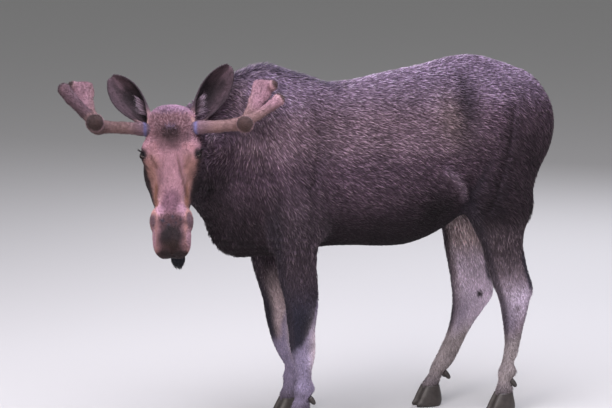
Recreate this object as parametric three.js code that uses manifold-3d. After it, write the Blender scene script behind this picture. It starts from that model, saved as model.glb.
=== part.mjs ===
// A young bull moose (Alces alces), standing, with its head turned to its left
// and its antlers in velvet. Millimetres, +Z up. The animal faces -X, its left
// side is -Y, and the middle of its back lies in the plane y = 0.
//
// The body is one smooth closed surface, f(p) = 0, made of lofted sections and
// ellipsoids that are blended into each other. Each flesh solid is found by
// casting rays from that part's own axis out to the surface.
import * as THREE from 'three';
import { mergeVertices } from 'three/addons/utils/BufferGeometryUtils.js';
import Module from 'manifold-3d';

const wasm = await Module();
wasm.setup();

const GAP = 0.4;               // clear space between solids that touch
const CENTRE_X = 49;           // middle of the whole animal, which goes to the origin
const CENTRE_Y = -67;

// ---------------------------------------------------------------- small tools

const V = (x, y, z) => new THREE.Vector3(x, y, z);
const mix = (a, b, t) => a + (b - a) * t;
const clamp = (x, lo, hi) => Math.min(Math.max(x, lo), hi);
/** Evenly spaced values: `count` steps from `from` to `to`, both included. */
const range = (from, to, count) => Array.from({ length: count + 1 },
  (_, i) => mix(from, to, i / count));

/** Smooth curve through stations [t, value]: cubic Hermite, slopes from the neighbours. */
function curve(stations) {
  const t = stations.map((s) => s[0]);
  const v = stations.map((s) => s[1]);
  const last = t.length - 1;
  const secant = (i) => (v[i + 1] - v[i]) / (t[i + 1] - t[i]);
  const slope = t.map((_, i) => {
    if (i === 0) return secant(0);
    if (i === last) return secant(last - 1);
    const before = t[i] - t[i - 1];
    const after = t[i + 1] - t[i];
    return (secant(i - 1) * after + secant(i) * before) / (before + after);
  });
  return (at) => {
    const x = clamp(at, t[0], t[last]);
    let i = 0;
    while (i < last - 1 && x > t[i + 1]) i += 1;
    const h = t[i + 1] - t[i];
    const u = (x - t[i]) / h;
    const w = 1 - u;
    return (1 + 2 * u) * w * w * v[i] + u * w * w * h * slope[i]
      + u * u * (3 - 2 * u) * v[i + 1] - u * u * w * h * slope[i + 1];
  };
}

/** Smooth union of two distances, blended over a width k. */
function blend(a, b, k) {
  const h = clamp(0.5 + 0.5 * (b - a) / k, 0, 1);
  return mix(b, a, h) - k * h * (1 - h);
}
const blendMax = (a, b, k) => -blend(-a, -b, k);

/** How far s lies outside lo..hi, rounded at both limits over a width k. */
const excess = (s, lo, hi, k) => blendMax(s - hi, 0, k) + blend(s - lo, 0, k);

/** Distance outside a superellipse of half sizes `halves`, along the ray from its centre. */
function section(offsets, halves, power) {
  let sum = 0;
  let square = 0;
  for (let i = 0; i < offsets.length; i += 1) {
    sum += Math.abs(offsets[i] / halves[i]) ** power;
    square += offsets[i] ** 2;
  }
  const r = Math.sqrt(square);
  return r - r / Math.max(sum ** (1 / power), 1e-6);
}

/** Distance outside an ellipsoid with its centre at c and radii r. */
function ellipsoid(x, y, z, c, r) {
  const q = [x - c[0], y - c[1], z - c[2]];
  const k0 = Math.hypot(q[0] / r[0], q[1] / r[1], q[2] / r[2]);
  const k1 = Math.hypot(q[0] / r[0] ** 2, q[1] / r[1] ** 2, q[2] / r[2] ** 2) + 1e-9;
  return k0 * (k0 - 1) / k1;
}

// ------------------------------------------------------------ trunk and neck

// The spine runs straight along X to BEND_X and then along an arc to the left.
// s is the length along it, d the distance to the right of it.
const BEND_X = -300;
const BEND_R = 600;
const NECK_END = -760;
const TRUNK_END = 1130;
const NECK_CAP = 95;           // how far the rounded ends stand past those two stations
const RUMP_CAP = 122;

const backLine = curve([[-790, 1560], [-700, 1585], [-600, 1622], [-480, 1690], [-364, 1741],
  [-226, 1776], [-108, 1742], [0, 1712], [98, 1676], [203, 1674], [360, 1695], [597, 1733],
  [760, 1764], [870, 1771], [1000, 1738], [1080, 1707], [1190, 1643], [1260, 1580]]);
const bellyLine = curve([[-790, 1225], [-700, 1180], [-620, 1125], [-560, 1072], [-500, 1000],
  [-443, 920], [-367, 866], [-228, 838], [-100, 842], [52, 866], [204, 864], [347, 852],
  [495, 853], [602, 881], [700, 925], [800, 985], [900, 1040], [1050, 1100], [1200, 1200]]);
const halfWidth = curve([[-790, 118], [-700, 122], [-600, 135], [-480, 158], [-350, 200],
  [-200, 232], [-50, 252], [120, 285], [300, 318], [480, 326], [650, 305], [800, 275],
  [950, 255], [1080, 225], [1200, 165]]);
const widestAt = curve([[-790, 1400], [-600, 1380], [-400, 1330], [-200, 1260], [0, 1230],
  [300, 1215], [500, 1225], [700, 1290], [850, 1400], [1000, 1450], [1200, 1430]]);
const topTaper = curve([[-790, 0.35], [-600, 0.45], [-400, 0.52], [-226, 0.56], [0, 0.48],
  [200, 0.42], [450, 0.35], [700, 0.42], [850, 0.5], [1000, 0.45], [1200, 0.3]]);

/** From a point to its place along the spine. */
function alongSpine(x, y) {
  if (x >= BEND_X) return [x, y];
  const angle = Math.atan2(BEND_X - x, y + BEND_R);
  return [BEND_X - BEND_R * angle, Math.hypot(BEND_X - x, y + BEND_R) - BEND_R];
}

/** The station on the spine at s: its point at height z and its directions. */
function spineStation(s, z) {
  const angle = Math.max(0, (BEND_X - s) / BEND_R);
  const side = V(-Math.sin(angle), Math.cos(angle), 0);
  const at = V(BEND_X, -BEND_R, z).addScaledVector(side, BEND_R);
  if (s > BEND_X) at.x = s;
  return { at, u: side, v: V(0, 0, 1), axis: V(Math.cos(angle), Math.sin(angle), 0) };
}

function trunkField(x, y, z) {
  const [s, d] = alongSpine(x, y);
  const e = excess(s, NECK_END, TRUNK_END, 90);
  const at = s - e;
  const middle = widestAt(at);
  const up = backLine(at) - middle;
  const down = middle - bellyLine(at);
  const rise = clamp((z - middle) / up, 0, 1);
  const drop = clamp((middle - z) / down, 0, 1);
  const width = halfWidth(at) * (1 - topTaper(at) * rise ** 1.6) * (1 - 0.12 * drop ** 2);
  return section([d, z - middle, e], [width, z > middle ? up : down, s < 0 ? NECK_CAP : RUMP_CAP], 2.25);
}

// Muscle masses, one of each on both sides: centre, radii, blend width.
const MUSCLES = [
  { c: [-190, 112, 1340], r: [150, 108, 290], k: 150 },     // shoulder blade
  { c: [-95, 160, 1180], r: [175, 100, 190], k: 110 },      // upper arm
  { c: [1005, 120, 1430], r: [225, 135, 220], k: 110 },     // hip and rump
];
const BRISKET = { c: [-370, 0, 985], r: [120, 110, 130], k: 70 };

function torsoField(x, y, z) {
  let f = trunkField(x, y, z);
  for (const m of MUSCLES) f = blend(f, ellipsoid(x, Math.abs(y), z, m.c, m.r), m.k);
  return blend(f, ellipsoid(x, y, z, BRISKET.c, BRISKET.r), BRISKET.k);
}

// ----------------------------------------------------------------------- legs

// Each leg is a stack of flat sections. Front and back edges, the sideways
// centre line and the half thickness are curves of the height.
const foreThickness = curve([[120, 36], [160, 34], [205, 44], [250, 38], [320, 35], [420, 37],
  [500, 47], [560, 55], [610, 52], [680, 50], [780, 58], [900, 72], [1000, 82], [1150, 92]]);
const hindThickness = curve([[120, 37], [160, 35], [205, 45], [260, 38], [340, 36], [430, 39],
  [520, 46], [590, 48], [650, 45], [720, 50], [850, 68], [950, 88], [1050, 105], [1200, 125],
  [1400, 128]]);
const foreCentre = curve([[100, 150], [500, 158], [800, 160], [1000, 165], [1150, 150]]);
const hindCentre = curve([[100, 150], [400, 160], [600, 165], [850, 170], [1050, 165],
  [1250, 140], [1400, 110]]);

const LEGS = {
  fore_left: {
    side: -1, top: 1100, cap: 160, centre: foreCentre, thickness: foreThickness,
    joint: 560, foot: -90, dent: [930, 1070], flare: 1.35, blend: 75,
    front: curve([[120, -138], [160, -120], [205, -122], [250, -112], [300, -116], [360, -132],
      [420, -147], [480, -152], [540, -160], [600, -166], [660, -178], [740, -202],
      [815, -214], [890, -226], [1000, -250], [1150, -290]]),
    back: curve([[120, -40], [160, -42], [205, -18], [250, -34], [300, -32], [360, -18],
      [420, -15], [480, -18], [540, -14], [600, -6], [660, -2], [740, -4], [815, -10],
      [890, -4], [1000, 20], [1150, 40]]),
  },
  fore_right: {
    side: 1, top: 1100, cap: 160, centre: foreCentre, thickness: foreThickness,
    joint: 560, foot: -34, dent: [930, 1070], flare: 1.35, blend: 75,
    front: curve([[120, -78], [160, -60], [205, -58], [250, -48], [275, -57], [308, -78],
      [360, -104], [438, -130], [513, -146], [588, -158], [664, -182], [740, -208],
      [815, -226], [890, -236], [1000, -254], [1150, -290]]),
    back: curve([[120, 10], [160, 14], [205, 34], [250, 12], [275, 1], [308, -4], [360, -9],
      [438, -18], [513, -28], [588, -38], [664, -50], [740, -45], [815, -30], [890, -14],
      [1000, 16], [1150, 40]]),
  },
  hind_left: {
    side: -1, top: 1380, cap: 150, centre: hindCentre, thickness: hindThickness,
    joint: 590, foot: 990, dent: [1090, 1240], flare: 1.12, blend: 70,
    front: curve([[120, 948], [160, 962], [205, 962], [250, 980], [300, 989], [340, 992],
      [417, 986], [490, 974], [566, 957], [606, 941], [640, 924], [690, 907], [770, 880],
      [845, 858], [920, 819], [995, 775], [1080, 748], [1200, 770], [1400, 860]]),
    back: curve([[120, 1040], [160, 1030], [205, 1056], [250, 1040], [300, 1060], [340, 1068],
      [417, 1085], [490, 1103], [566, 1121], [606, 1134], [640, 1131], [690, 1114],
      [770, 1091], [845, 1079], [920, 1088], [1001, 1123], [1050, 1130], [1124, 1132],
      [1196, 1155], [1269, 1172], [1400, 1185]]),
  },
  hind_right: {
    side: 1, top: 1380, cap: 150, centre: hindCentre, thickness: hindThickness,
    joint: 540, foot: 728, dent: [1090, 1240], flare: 1.12, blend: 70,
    front: curve([[110, 685], [146, 715], [194, 738], [242, 765], [290, 790], [340, 815],
      [404, 838], [463, 849], [527, 854], [562, 852], [640, 842], [717, 827], [793, 812],
      [870, 800], [940, 780], [1000, 765], [1080, 752], [1200, 770], [1400, 860]]),
    back: curve([[110, 775], [146, 790], [194, 835], [242, 872], [290, 900], [340, 927],
      [404, 971], [463, 1020], [527, 1068], [562, 1076], [640, 1062], [717, 1047],
      [793, 1032], [870, 1025], [940, 1042], [1001, 1070], [1050, 1092], [1124, 1106],
      [1196, 1136], [1269, 1162], [1400, 1185]]),
  },
};
const COAT_LINE = 100;         // height of the coronet, where hair meets hoof

function legField(leg, x, y, z) {
  const at = clamp(z, COAT_LINE, leg.top);
  const front = leg.front(at);
  const back = leg.back(at);
  const over = z - at;
  return section([x - (front + back) / 2, y - leg.side * leg.centre(at), over],
    [(back - front) / 2, leg.thickness(at), over > 0 ? leg.cap : 30], 2.2);
}

function bodyField(x, y, z) {
  let f = torsoField(x, y, z);
  for (const leg of Object.values(LEGS)) f = blend(f, legField(leg, x, y, z), leg.blend);
  return f;
}

// ----------------------------------------------------------------------- head

// Head coordinates: l runs down the face from the line between the eyes, w to
// the animal's left, and n out of the face. The head is turned by HEADING to
// the left, and the face leans FACE_TILT from upright, muzzle forward.
const EYE_LINE = V(-790, -275, 1435);
const HEADING = THREE.MathUtils.degToRad(68);
const FACE_TILT = THREE.MathUtils.degToRad(20);
const HEAD_ROLL = THREE.MathUtils.degToRad(1.1);
const forward = V(-Math.cos(HEADING), -Math.sin(HEADING), 0);
const level = V(Math.sin(HEADING), -Math.cos(HEADING), 0);
const steep = V(0, 0, -Math.cos(FACE_TILT)).addScaledVector(forward, Math.sin(FACE_TILT));
const OUT = V(0, 0, Math.sin(FACE_TILT)).addScaledVector(forward, Math.cos(FACE_TILT));
const DOWN_FACE = steep.clone().multiplyScalar(Math.cos(HEAD_ROLL))
  .addScaledVector(level, Math.sin(HEAD_ROLL));
const ACROSS = level.clone().multiplyScalar(Math.cos(HEAD_ROLL))
  .addScaledVector(steep, -Math.sin(HEAD_ROLL));

const headPoint = (l, w, n) => EYE_LINE.clone()
  .addScaledVector(DOWN_FACE, l).addScaledVector(ACROSS, w).addScaledVector(OUT, n);
function toHead(x, y, z) {
  const q = V(x, y, z).sub(EYE_LINE);
  return [q.dot(DOWN_FACE), q.dot(ACROSS), q.dot(OUT)];
}

const faceLine = curve([[-170, -30], [-130, -2], [-90, 8], [-40, 6], [10, 0], [70, -12],
  [140, -22], [210, -20], [280, -8], [340, 8], [400, 20], [450, 20], [485, 8]]);
const noseDepth = curve([[-170, 75], [-90, 85], [0, 80], [100, 70], [200, 62], [280, 62],
  [340, 72], [400, 80], [450, 84], [485, 80]]);
const noseWidth = curve([[-190, 92], [-114, 108], [-60, 109], [-25, 113], [20, 112], [60, 98],
  [100, 82], [150, 69], [200, 62], [245, 63], [285, 72], [320, 83], [351, 87], [385, 83],
  [412, 79], [450, 80], [485, 78]]);
const jawMiddle = curve([[-90, -165], [0, -172], [100, -176], [200, -158], [300, -132],
  [360, -125]]);
const jawDepth = curve([[-90, 100], [0, 118], [80, 116], [150, 98], [220, 78], [300, 62],
  [360, 55]]);
const jawWidth = curve([[-90, 92], [-30, 108], [30, 121], [80, 126], [133, 121], [185, 107],
  [237, 91], [275, 77], [330, 62], [360, 56]]);

// Masses of the head; those with w > 0 are there on both sides.
const HEAD_MASSES = [
  { c: [18, 94, -68], r: [68, 42, 58], k: 46 },            // brow and eye socket
  { c: [338, 62, -44], r: [58, 33, 52], k: 40 },            // nostril wing
  { c: [440, 36, -50], r: [74, 46, 72], k: 34 },            // upper-lip lobe
  { c: [402, 0, -146], r: [76, 50, 42], k: 34 },            // lower lip and chin
  { c: [60, 88, -195], r: [95, 34, 80], k: 40 },            // jaw muscle
  { c: [-120, 0, -130], r: [75, 92, 90], k: 60 },           // back of the skull
];

function headField(x, y, z) {
  const [l, w, n] = toHead(x, y, z);
  let e = excess(l, -140, 425, 60);
  let at = l - e;
  const depth = noseDepth(at);
  let f = section([w, n - faceLine(at) + depth, e], [noseWidth(at), depth, l < 0 ? 78 : 82], 2.35);
  e = excess(l, -50, 300, 60);
  at = l - e;
  f = blend(f, section([w, n - jawMiddle(at), e],
    [jawWidth(at), jawDepth(at), l < 100 ? 80 : 70], 2.3), 38);
  const side = Math.sqrt(w * w + 144) - 3;
  for (const m of HEAD_MASSES) f = blend(f, ellipsoid(l, m.c[1] ? side : w, n, m.c, m.r), m.k);
  return f;
}

const fleshField = (x, y, z) => blend(bodyField(x, y, z), headField(x, y, z), 55);

// ---------------------------------------------------------- solids from rings

/** Closed solid from rings of equal length, with a fan or a point at each end. */
function ringSolid(rings, startPoint, endPoint) {
  const sides = rings[0].length;
  const points = rings.flat();
  const middle = (ring) => ring.reduce((a, p) => a.add(p), V(0, 0, 0)).divideScalar(sides);
  points.push(startPoint ?? middle(rings[0]), endPoint ?? middle(rings[rings.length - 1]));
  const index = [];
  for (let i = 0; i < rings.length - 1; i += 1) {
    for (let j = 0; j < sides; j += 1) {
      const a = i * sides + j;
      const b = i * sides + (j + 1) % sides;
      index.push(a, b, a + sides, b, b + sides, a + sides);
    }
  }
  const start = points.length - 2;
  const last = (rings.length - 1) * sides;
  for (let j = 0; j < sides; j += 1) {
    const next = (j + 1) % sides;
    index.push(start, next, j, start + 1, last + j, last + next);
  }
  return facingOut(points, index);
}

/** Closed solid between two equal grids of points: two faces and the rim round them. */
function wallSolid(outer, inner) {
  const across = outer[0].length;
  const count = outer.length * across;
  const points = [...outer.flat(), ...inner.flat()];
  const at = (i, j) => i * across + j;
  const index = [];
  const quad = (a, b, c, d) => index.push(a, b, c, a, c, d);
  for (let i = 0; i < outer.length - 1; i += 1) {
    for (let j = 0; j < across - 1; j += 1) {
      quad(at(i, j), at(i, j + 1), at(i + 1, j + 1), at(i + 1, j));
      quad(count + at(i + 1, j), count + at(i + 1, j + 1), count + at(i, j + 1), count + at(i, j));
    }
  }
  const edge = [
    ...range(0, across - 1, across - 1).map((j) => at(0, j)),
    ...range(1, outer.length - 1, outer.length - 2).map((i) => at(i, across - 1)),
    ...range(across - 2, 0, across - 2).map((j) => at(outer.length - 1, j)),
    ...range(outer.length - 2, 0, outer.length - 2).map((i) => at(i, 0)),
  ];
  for (let k = 0; k < edge.length - 1; k += 1) {
    quad(edge[k + 1], edge[k], count + edge[k], count + edge[k + 1]);
  }
  return facingOut(points, index);
}

/** Indexed geometry whose faces point out, whichever way they were listed. */
function facingOut(points, index) {
  let volume = 0;
  for (let i = 0; i < index.length; i += 3) {
    const [a, b, c] = [points[index[i]], points[index[i + 1]], points[index[i + 2]]];
    volume += a.dot(b.clone().cross(c));
  }
  if (volume < 0) index.reverse();
  const geometry = new THREE.BufferGeometry();
  geometry.setAttribute('position',
    new THREE.Float32BufferAttribute(points.flatMap((p) => p.toArray()), 3));
  geometry.setIndex(index);
  return geometry;
}

/** Distance from `from` along `dir` to where the field turns positive, at most `reach`. */
function rayExit(field, from, dir, reach) {
  const value = (t) => field(from.x + dir.x * t, from.y + dir.y * t, from.z + dir.z * t);
  let inside = 0;
  let t = 0;
  for (let i = 0; i < 200; i += 1) {
    const f = value(t);
    if (f > 0) break;
    inside = t;
    if (t >= reach) return reach;
    t = Math.min(t + clamp(-f * 0.8, 0.5, 60), reach);
  }
  let outside = t;
  for (let i = 0; i < 24; i += 1) {
    const half = (inside + outside) / 2;
    if (value(half) > 0) outside = half;
    else inside = half;
  }
  return inside;
}

/** One ring of rays; `tilt` leans them from the section plane towards the axis. */
function castRing(field, station, sides, reach, grow = 0, tilt = 0) {
  const ring = [];
  for (let j = 0; j < sides; j += 1) {
    const a = 2 * Math.PI * (j + 0.5) / sides;
    const dir = V(0, 0, 0)
      .addScaledVector(station.u, Math.cos(a) * Math.cos(tilt))
      .addScaledVector(station.v, Math.sin(a) * Math.cos(tilt))
      .addScaledVector(station.axis, Math.sin(tilt));
    const r = rayExit(field, station.at, dir, reach(dir, station)) + grow;
    ring.push(station.at.clone().addScaledVector(dir, r));
  }
  return ring;
}

/** Dome over a station: rings that lean more and more towards the axis, and a tip. */
function castDome(field, station, sides, reach, grow, sign, count) {
  const rings = [];
  for (let i = 1; i <= count; i += 1) {
    const tilt = sign * (Math.PI / 2) * i / (count + 1);
    rings.push(castRing(field, station, sides, reach, grow, tilt));
  }
  const dir = station.axis.clone().multiplyScalar(sign);
  const r = rayExit(field, station.at, dir, reach(dir, station)) + grow;
  return { rings, tip: station.at.clone().addScaledVector(dir, r) };
}

// ------------------------------------------------------------ cuts with manifold

function solidOf(geometry) {
  const bare = geometry.clone();
  bare.deleteAttribute('normal');
  bare.deleteAttribute('uv');
  const merged = mergeVertices(bare, 1e-4);
  return new wasm.Manifold(new wasm.Mesh({
    numProp: 3,
    vertProperties: new Float32Array(merged.attributes.position.array),
    triVerts: new Uint32Array(merged.index.array),
  }));
}

/** The geometry less each of the cutters; crumbs that a cut leaves are dropped. */
function cut(geometry, ...cutters) {
  let solid = solidOf(geometry);
  for (const cutter of cutters) solid = solid.subtract(solidOf(cutter));
  const pieces = solid.decompose();
  pieces.sort((a, b) => b.volume() - a.volume());
  const mesh = pieces[0].getMesh();
  const result = new THREE.BufferGeometry();
  result.setAttribute('position', new THREE.BufferAttribute(
    new Float32Array(mesh.vertProperties), mesh.numProp));
  result.setIndex(new THREE.BufferAttribute(new Uint32Array(mesh.triVerts), 1));
  return result;
}

// ---------------------------------------------------------------- flesh solids

const TRUNK_SIDES = 26;
const NECK_START = BEND_X;     // the neck leaves the trunk where the bend begins
const NECK_STOP = -700;        // the neck's last section, inside the head
const RUMP_STATION = 1010;     // the rump is a dome round this station

const spineAt = (s) => spineStation(s, widestAt(s));

/** The trunk node swells at most this far past the torso where a leg leaves it. */
const LEG_SWELL = 1.2;
const torsoReach = (dir, station) => LEG_SWELL * rayExit(torsoField, station.at, dir, 900);

function trunkSolid(grow) {
  const rings = range(NECK_START, RUMP_STATION, 18).map((s) => (
    castRing(bodyField, spineAt(s), TRUNK_SIDES, torsoReach, grow)));
  const dome = castDome(bodyField, spineAt(RUMP_STATION), TRUNK_SIDES, torsoReach, grow, 1, 5);
  return ringSolid([...rings, ...dome.rings], undefined, dome.tip);
}

const NECK_SWELL = 1.2;
const neckReach = (dir, station) => NECK_SWELL * rayExit(torsoField, station.at, dir, 900);

function neckSolid(grow) {
  const rings = range(NECK_START - GAP, NECK_STOP, 8).map((s) => (
    castRing(fleshField, spineAt(s), TRUNK_SIDES, neckReach, grow)));
  return ringSolid(rings);
}

const HEAD_SIDES = 26;
const headAxis = curve([[-120, -95], [0, -125], [150, -115], [300, -80], [420, -72]]);
const headStation = (l) => ({
  at: headPoint(l, 0, headAxis(l)), u: ACROSS, v: OUT, axis: DOWN_FACE,
});
const headReach = () => 400;

function headSolid(grow) {
  const crown = castDome(headField, headStation(-120), HEAD_SIDES, headReach, grow, -1, 4);
  const rings = range(-120, 420, 17).map((l) => (
    castRing(headField, headStation(l), HEAD_SIDES, headReach, grow)));
  const muzzle = castDome(headField, headStation(420), HEAD_SIDES, headReach, grow, 1, 5);
  return ringSolid([...crown.rings.reverse(), ...rings, ...muzzle.rings], crown.tip, muzzle.tip);
}

/** A stretch of a leg between two heights, rung by rung. */
function legSolid(leg, heights, sides, grow = 0) {
  const field = (x, y, z) => blend(torsoField(x, y, z), legField(leg, x, y, z), leg.blend);
  const [dentStart, dentEnd] = leg.dent;
  const rings = heights.map((z) => {
    const front = leg.front(z);
    const back = leg.back(z);
    const at = V((front + back) / 2, leg.side * leg.centre(z), z);
    const station = { at, u: V(1, 0, 0), v: V(0, 1, 0), axis: V(0, 0, 1) };
    const half = [(back - front) / 2, leg.thickness(z)];
    const lean = clamp((z - dentStart) / (dentEnd - dentStart), 0, 1);
    const flare = z < dentStart ? leg.flare : mix(1.1, 0.6, lean);
    const reach = (dir) => flare / Math.hypot(dir.x / half[0], dir.y / half[1]);
    return castRing(field, station, sides, reach, grow);
  });
  return ringSolid(rings);
}

// ------------------------------------------------------------------------ ears

// An ear is a shell rolled round its own axis. Its radius, the half angle of
// its roll and how far its back lies behind the axis are curves of the
// distance from its base.
const EAR_LENGTH = 300;
const EAR_WALL = 9;
const earRadius = curve([[0, 32], [40, 42], [100, 60], [160, 70], [220, 64], [270, 42],
  [290, 26], [300, 12]]);
const earRoll = curve([[0, 2.7], [30, 2.3], [80, 1.75], [160, 1.45], [230, 1.3], [300, 1.2]]);
const earBack = curve([[0, 32], [60, 50], [150, 64], [230, 60], [300, 48]]);
const EARS = {
  ear_right: { base: [-152, -112, -128], tip: [-392, -300, -185], opens: [0.1, -0.2, 1] },
  ear_left: { base: [-152, 112, -128], tip: [-402, 292, -95], opens: [0.1, 0.45, 1] },
};

function earSolid({ base, tip, opens }) {
  const root = headPoint(...base);
  const axis = headPoint(...tip).sub(root);
  const stretch = axis.length() / EAR_LENGTH;
  axis.normalize();
  const front = headPoint(...opens).sub(headPoint(0, 0, 0));
  front.addScaledVector(axis, -front.dot(axis)).normalize();
  const across = axis.clone().cross(front);
  const lengths = [0, 35, 75, 120, 170, 215, 255, 282, 298];
  const steps = 7;
  const wall = (offset) => lengths.map((t) => {
    const roll = earRoll(t);
    return range(-roll, roll, steps).map((a) => {
      const r = earRadius(t) + offset;
      const ahead = earRadius(t) - earBack(t) - r * Math.cos(a);
      return root.clone().addScaledVector(axis, t * stretch)
        .addScaledVector(across, r * Math.sin(a)).addScaledVector(front, ahead);
    });
  });
  return wallSolid(wall(EAR_WALL / 2), wall(-EAR_WALL / 2));
}

// --------------------------------------------------------------------- antlers

// Each limb is a chain of sections in head coordinates: l, w, n, half width and,
// where the section is flattened, half thickness.
const ANTLERS = {
  right: {
    beam: [[-96, -92, -52, 36], [-100, -140, -50, 32], [-106, -225, -48, 30], [-113, -300, -58, 31],
      [-114, -335, -62, 34]],
    brow: [[-114, -335, -62, 33], [-108, -345, -10, 34], [-104, -352, 36, 37]],
    lobe: [[-114, -335, -62, 26], [-190, -402, -100, 25], [-260, -465, -132, 27],
      [-300, -500, -150, 29]],
    palm: [[-114, -335, -62, 26, 20], [-170, -372, -90, 36, 22], [-240, -405, -124, 48, 23],
      [-300, -416, -155, 56, 24], [-332, -418, -168, 54, 22]],
  },
  left: {
    beam: [[-100, 96, -52, 36], [-102, 140, -50, 32], [-104, 225, -48, 30], [-113, 305, -58, 31],
      [-116, 338, -62, 34]],
    brow: [[-116, 338, -62, 33], [-110, 345, -10, 34], [-106, 350, 36, 35]],
    lobe: [[-116, 338, -62, 26], [-160, 405, -95, 22], [-210, 470, -130, 25],
      [-245, 510, -150, 30]],
    palm: [[-116, 338, -62, 24, 20], [-170, 370, -90, 32, 21], [-240, 408, -124, 44, 22],
      [-296, 436, -155, 56, 24], [-330, 440, -168, 54, 22]],
  },
};
const PALM_FACE = [0.25, 0.1, 1];          // the flat of the palm faces this way

/** Solid along a chain of [l, w, n, half width, half thickness], with rounded ends. */
function limbSolid(chain, sides, grow, step) {
  const spots = chain.map((p) => headPoint(p[0], p[1], p[2]));
  const path = new THREE.CatmullRomCurve3(spots);
  const keys = spots.map((_, i) => i / (spots.length - 1));
  const wide = curve(keys.map((k, i) => [k, chain[i][3]]));
  const thin = curve(keys.map((k, i) => [k, chain[i][4] ?? chain[i][3]]));
  const face = headPoint(...PALM_FACE).sub(headPoint(0, 0, 0));
  const rings = [];
  const addRing = (k, ahead, shrink) => {
    const tangent = path.getTangent(k);
    const across = tangent.clone().cross(face).normalize();
    const normal = across.clone().cross(tangent).normalize();
    const centre = path.getPoint(k).addScaledVector(tangent, ahead);
    rings.push(Array.from({ length: sides }, (_, j) => {
      const a = 2 * Math.PI * j / sides;
      return centre.clone()
        .addScaledVector(across, Math.cos(a) * (wide(k) * shrink + grow))
        .addScaledVector(normal, Math.sin(a) * (thin(k) * shrink + grow));
    }));
  };
  const round = [0.35, 0.7, 1].map((t) => t * Math.PI / 2);
  for (const a of [...round].reverse().slice(1)) {
    addRing(0, -Math.sin(a) * thin(0), Math.cos(a));
  }
  for (const k of range(0, 1, step)) addRing(k, 0, 1);
  for (const a of round.slice(0, 2)) addRing(1, Math.sin(a) * (thin(1) + grow), Math.cos(a));
  const start = path.getPoint(0).addScaledVector(path.getTangent(0), -thin(0) - grow);
  const end = path.getPoint(1).addScaledVector(path.getTangent(1), thin(1) + grow);
  return ringSolid(rings, start, end);
}

// ------------------------------------------------------------- smaller pieces

const EYE_RADIUS = 20;
const EYE_PLACE = [26, 118, -54];
const TAIL = { centre: V(1255, 0, 1500), radii: [42, 26, 66] };

function ball(centre, radii, segments = 10) {
  const geometry = new THREE.SphereGeometry(1, segments, Math.round(segments * 0.7));
  geometry.scale(radii[0], radii[1], radii[2]);
  geometry.translate(centre.x, centre.y, centre.z);
  return geometry;
}

/** Tube of round sections [x, y, z, radius] down to a rounded tip. */
function bellSolid() {
  const chain = [[-722, -142, 1205, 36], [-716, -139, 1110, 30], [-709, -136, 1010, 25],
    [-706, -136, 930, 27], [-706, -136, 892, 25], [-706, -136, 874, 15]];
  const rings = chain.map(([x, y, z, r]) => Array.from({ length: 12 }, (_, j) => {
    const a = 2 * Math.PI * j / 12;
    return V(x + r * Math.cos(a), y + r * Math.sin(a), z);
  }));
  return ringSolid(rings, undefined, V(-706, -136, 868));
}

// A hoof is two digits. Each is a stack of egg-shaped sections, pointed at the toe.
const HOOF = {
  toe: curve([[0, -86], [30, -74], [70, -54], [COAT_LINE, -40]]),
  heel: curve([[0, 44], [30, 50], [70, 46], [COAT_LINE, 40]]),
  half: curve([[0, 26], [30, 27], [70, 25.5], [COAT_LINE, 23]]),
  apart: curve([[0, 29], [50, 28], [COAT_LINE, 24]]),
};

function digitSolid(footX, footY, side) {
  const rings = [0, 30, 65, COAT_LINE - GAP].map((z) => {
    const toe = HOOF.toe(z);
    const heel = HOOF.heel(z);
    return Array.from({ length: 10 }, (_, j) => {
      const a = 2 * Math.PI * j / 10;
      const narrow = 1 - 0.28 * Math.max(0, -Math.cos(a)) ** 2;
      return V(footX + (toe + heel) / 2 + (heel - toe) / 2 * Math.cos(a),
        footY + side * HOOF.apart(z) + HOOF.half(z) * narrow * Math.sin(a), z);
    });
  });
  return ringSolid(rings);
}

/** One of the two small claws behind the pastern: a blunt cone that points down and back. */
const DEWCLAW = { height: 168, apart: 24, sunk: 14, stations: [[0, 17], [20, 18], [46, 9]] };
const DEWCLAW_DIP = THREE.MathUtils.degToRad(52);

function dewclawSolid(x, y, z) {
  const ahead = V(Math.cos(DEWCLAW_DIP), 0, -Math.sin(DEWCLAW_DIP));
  const up = V(Math.sin(DEWCLAW_DIP), 0, Math.cos(DEWCLAW_DIP));
  return ringSolid(DEWCLAW.stations.map(([t, r]) => Array.from({ length: 6 }, (_, j) => {
    const a = 2 * Math.PI * j / 6;
    return V(x, y + r * Math.sin(a), z)
      .addScaledVector(ahead, t).addScaledVector(up, 0.75 * r * Math.cos(a));
  })));
}

// ---------------------------------------------------------------- the assembly

const MATERIALS = {
  coat: { color: '#3b302f', roughness: 0.9 },
  face: { color: '#80594c', roughness: 0.9 },
  shank: { color: '#8a7d78', roughness: 0.9 },
  velvet: { color: '#7d5f4e', roughness: 0.95 },
  eye: { color: '#120d0c', roughness: 0.1 },
  hoof: { color: '#2c2725', roughness: 0.5 },
};

const moose = new THREE.Group();
moose.position.set(-CENTRE_X, -CENTRE_Y, 0);

function add(name, geometry, finish) {
  const flat = geometry.index ? geometry.toNonIndexed() : geometry;
  flat.computeVertexNormals();
  const material = new THREE.MeshStandardMaterial({ ...MATERIALS[finish], metalness: 0 });
  const mesh = new THREE.Mesh(flat, material);
  mesh.name = name;
  moose.add(mesh);
}

const trunkCutter = trunkSolid(GAP);
const headCutter = headSolid(GAP);
const neckCutter = neckSolid(GAP);

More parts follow.
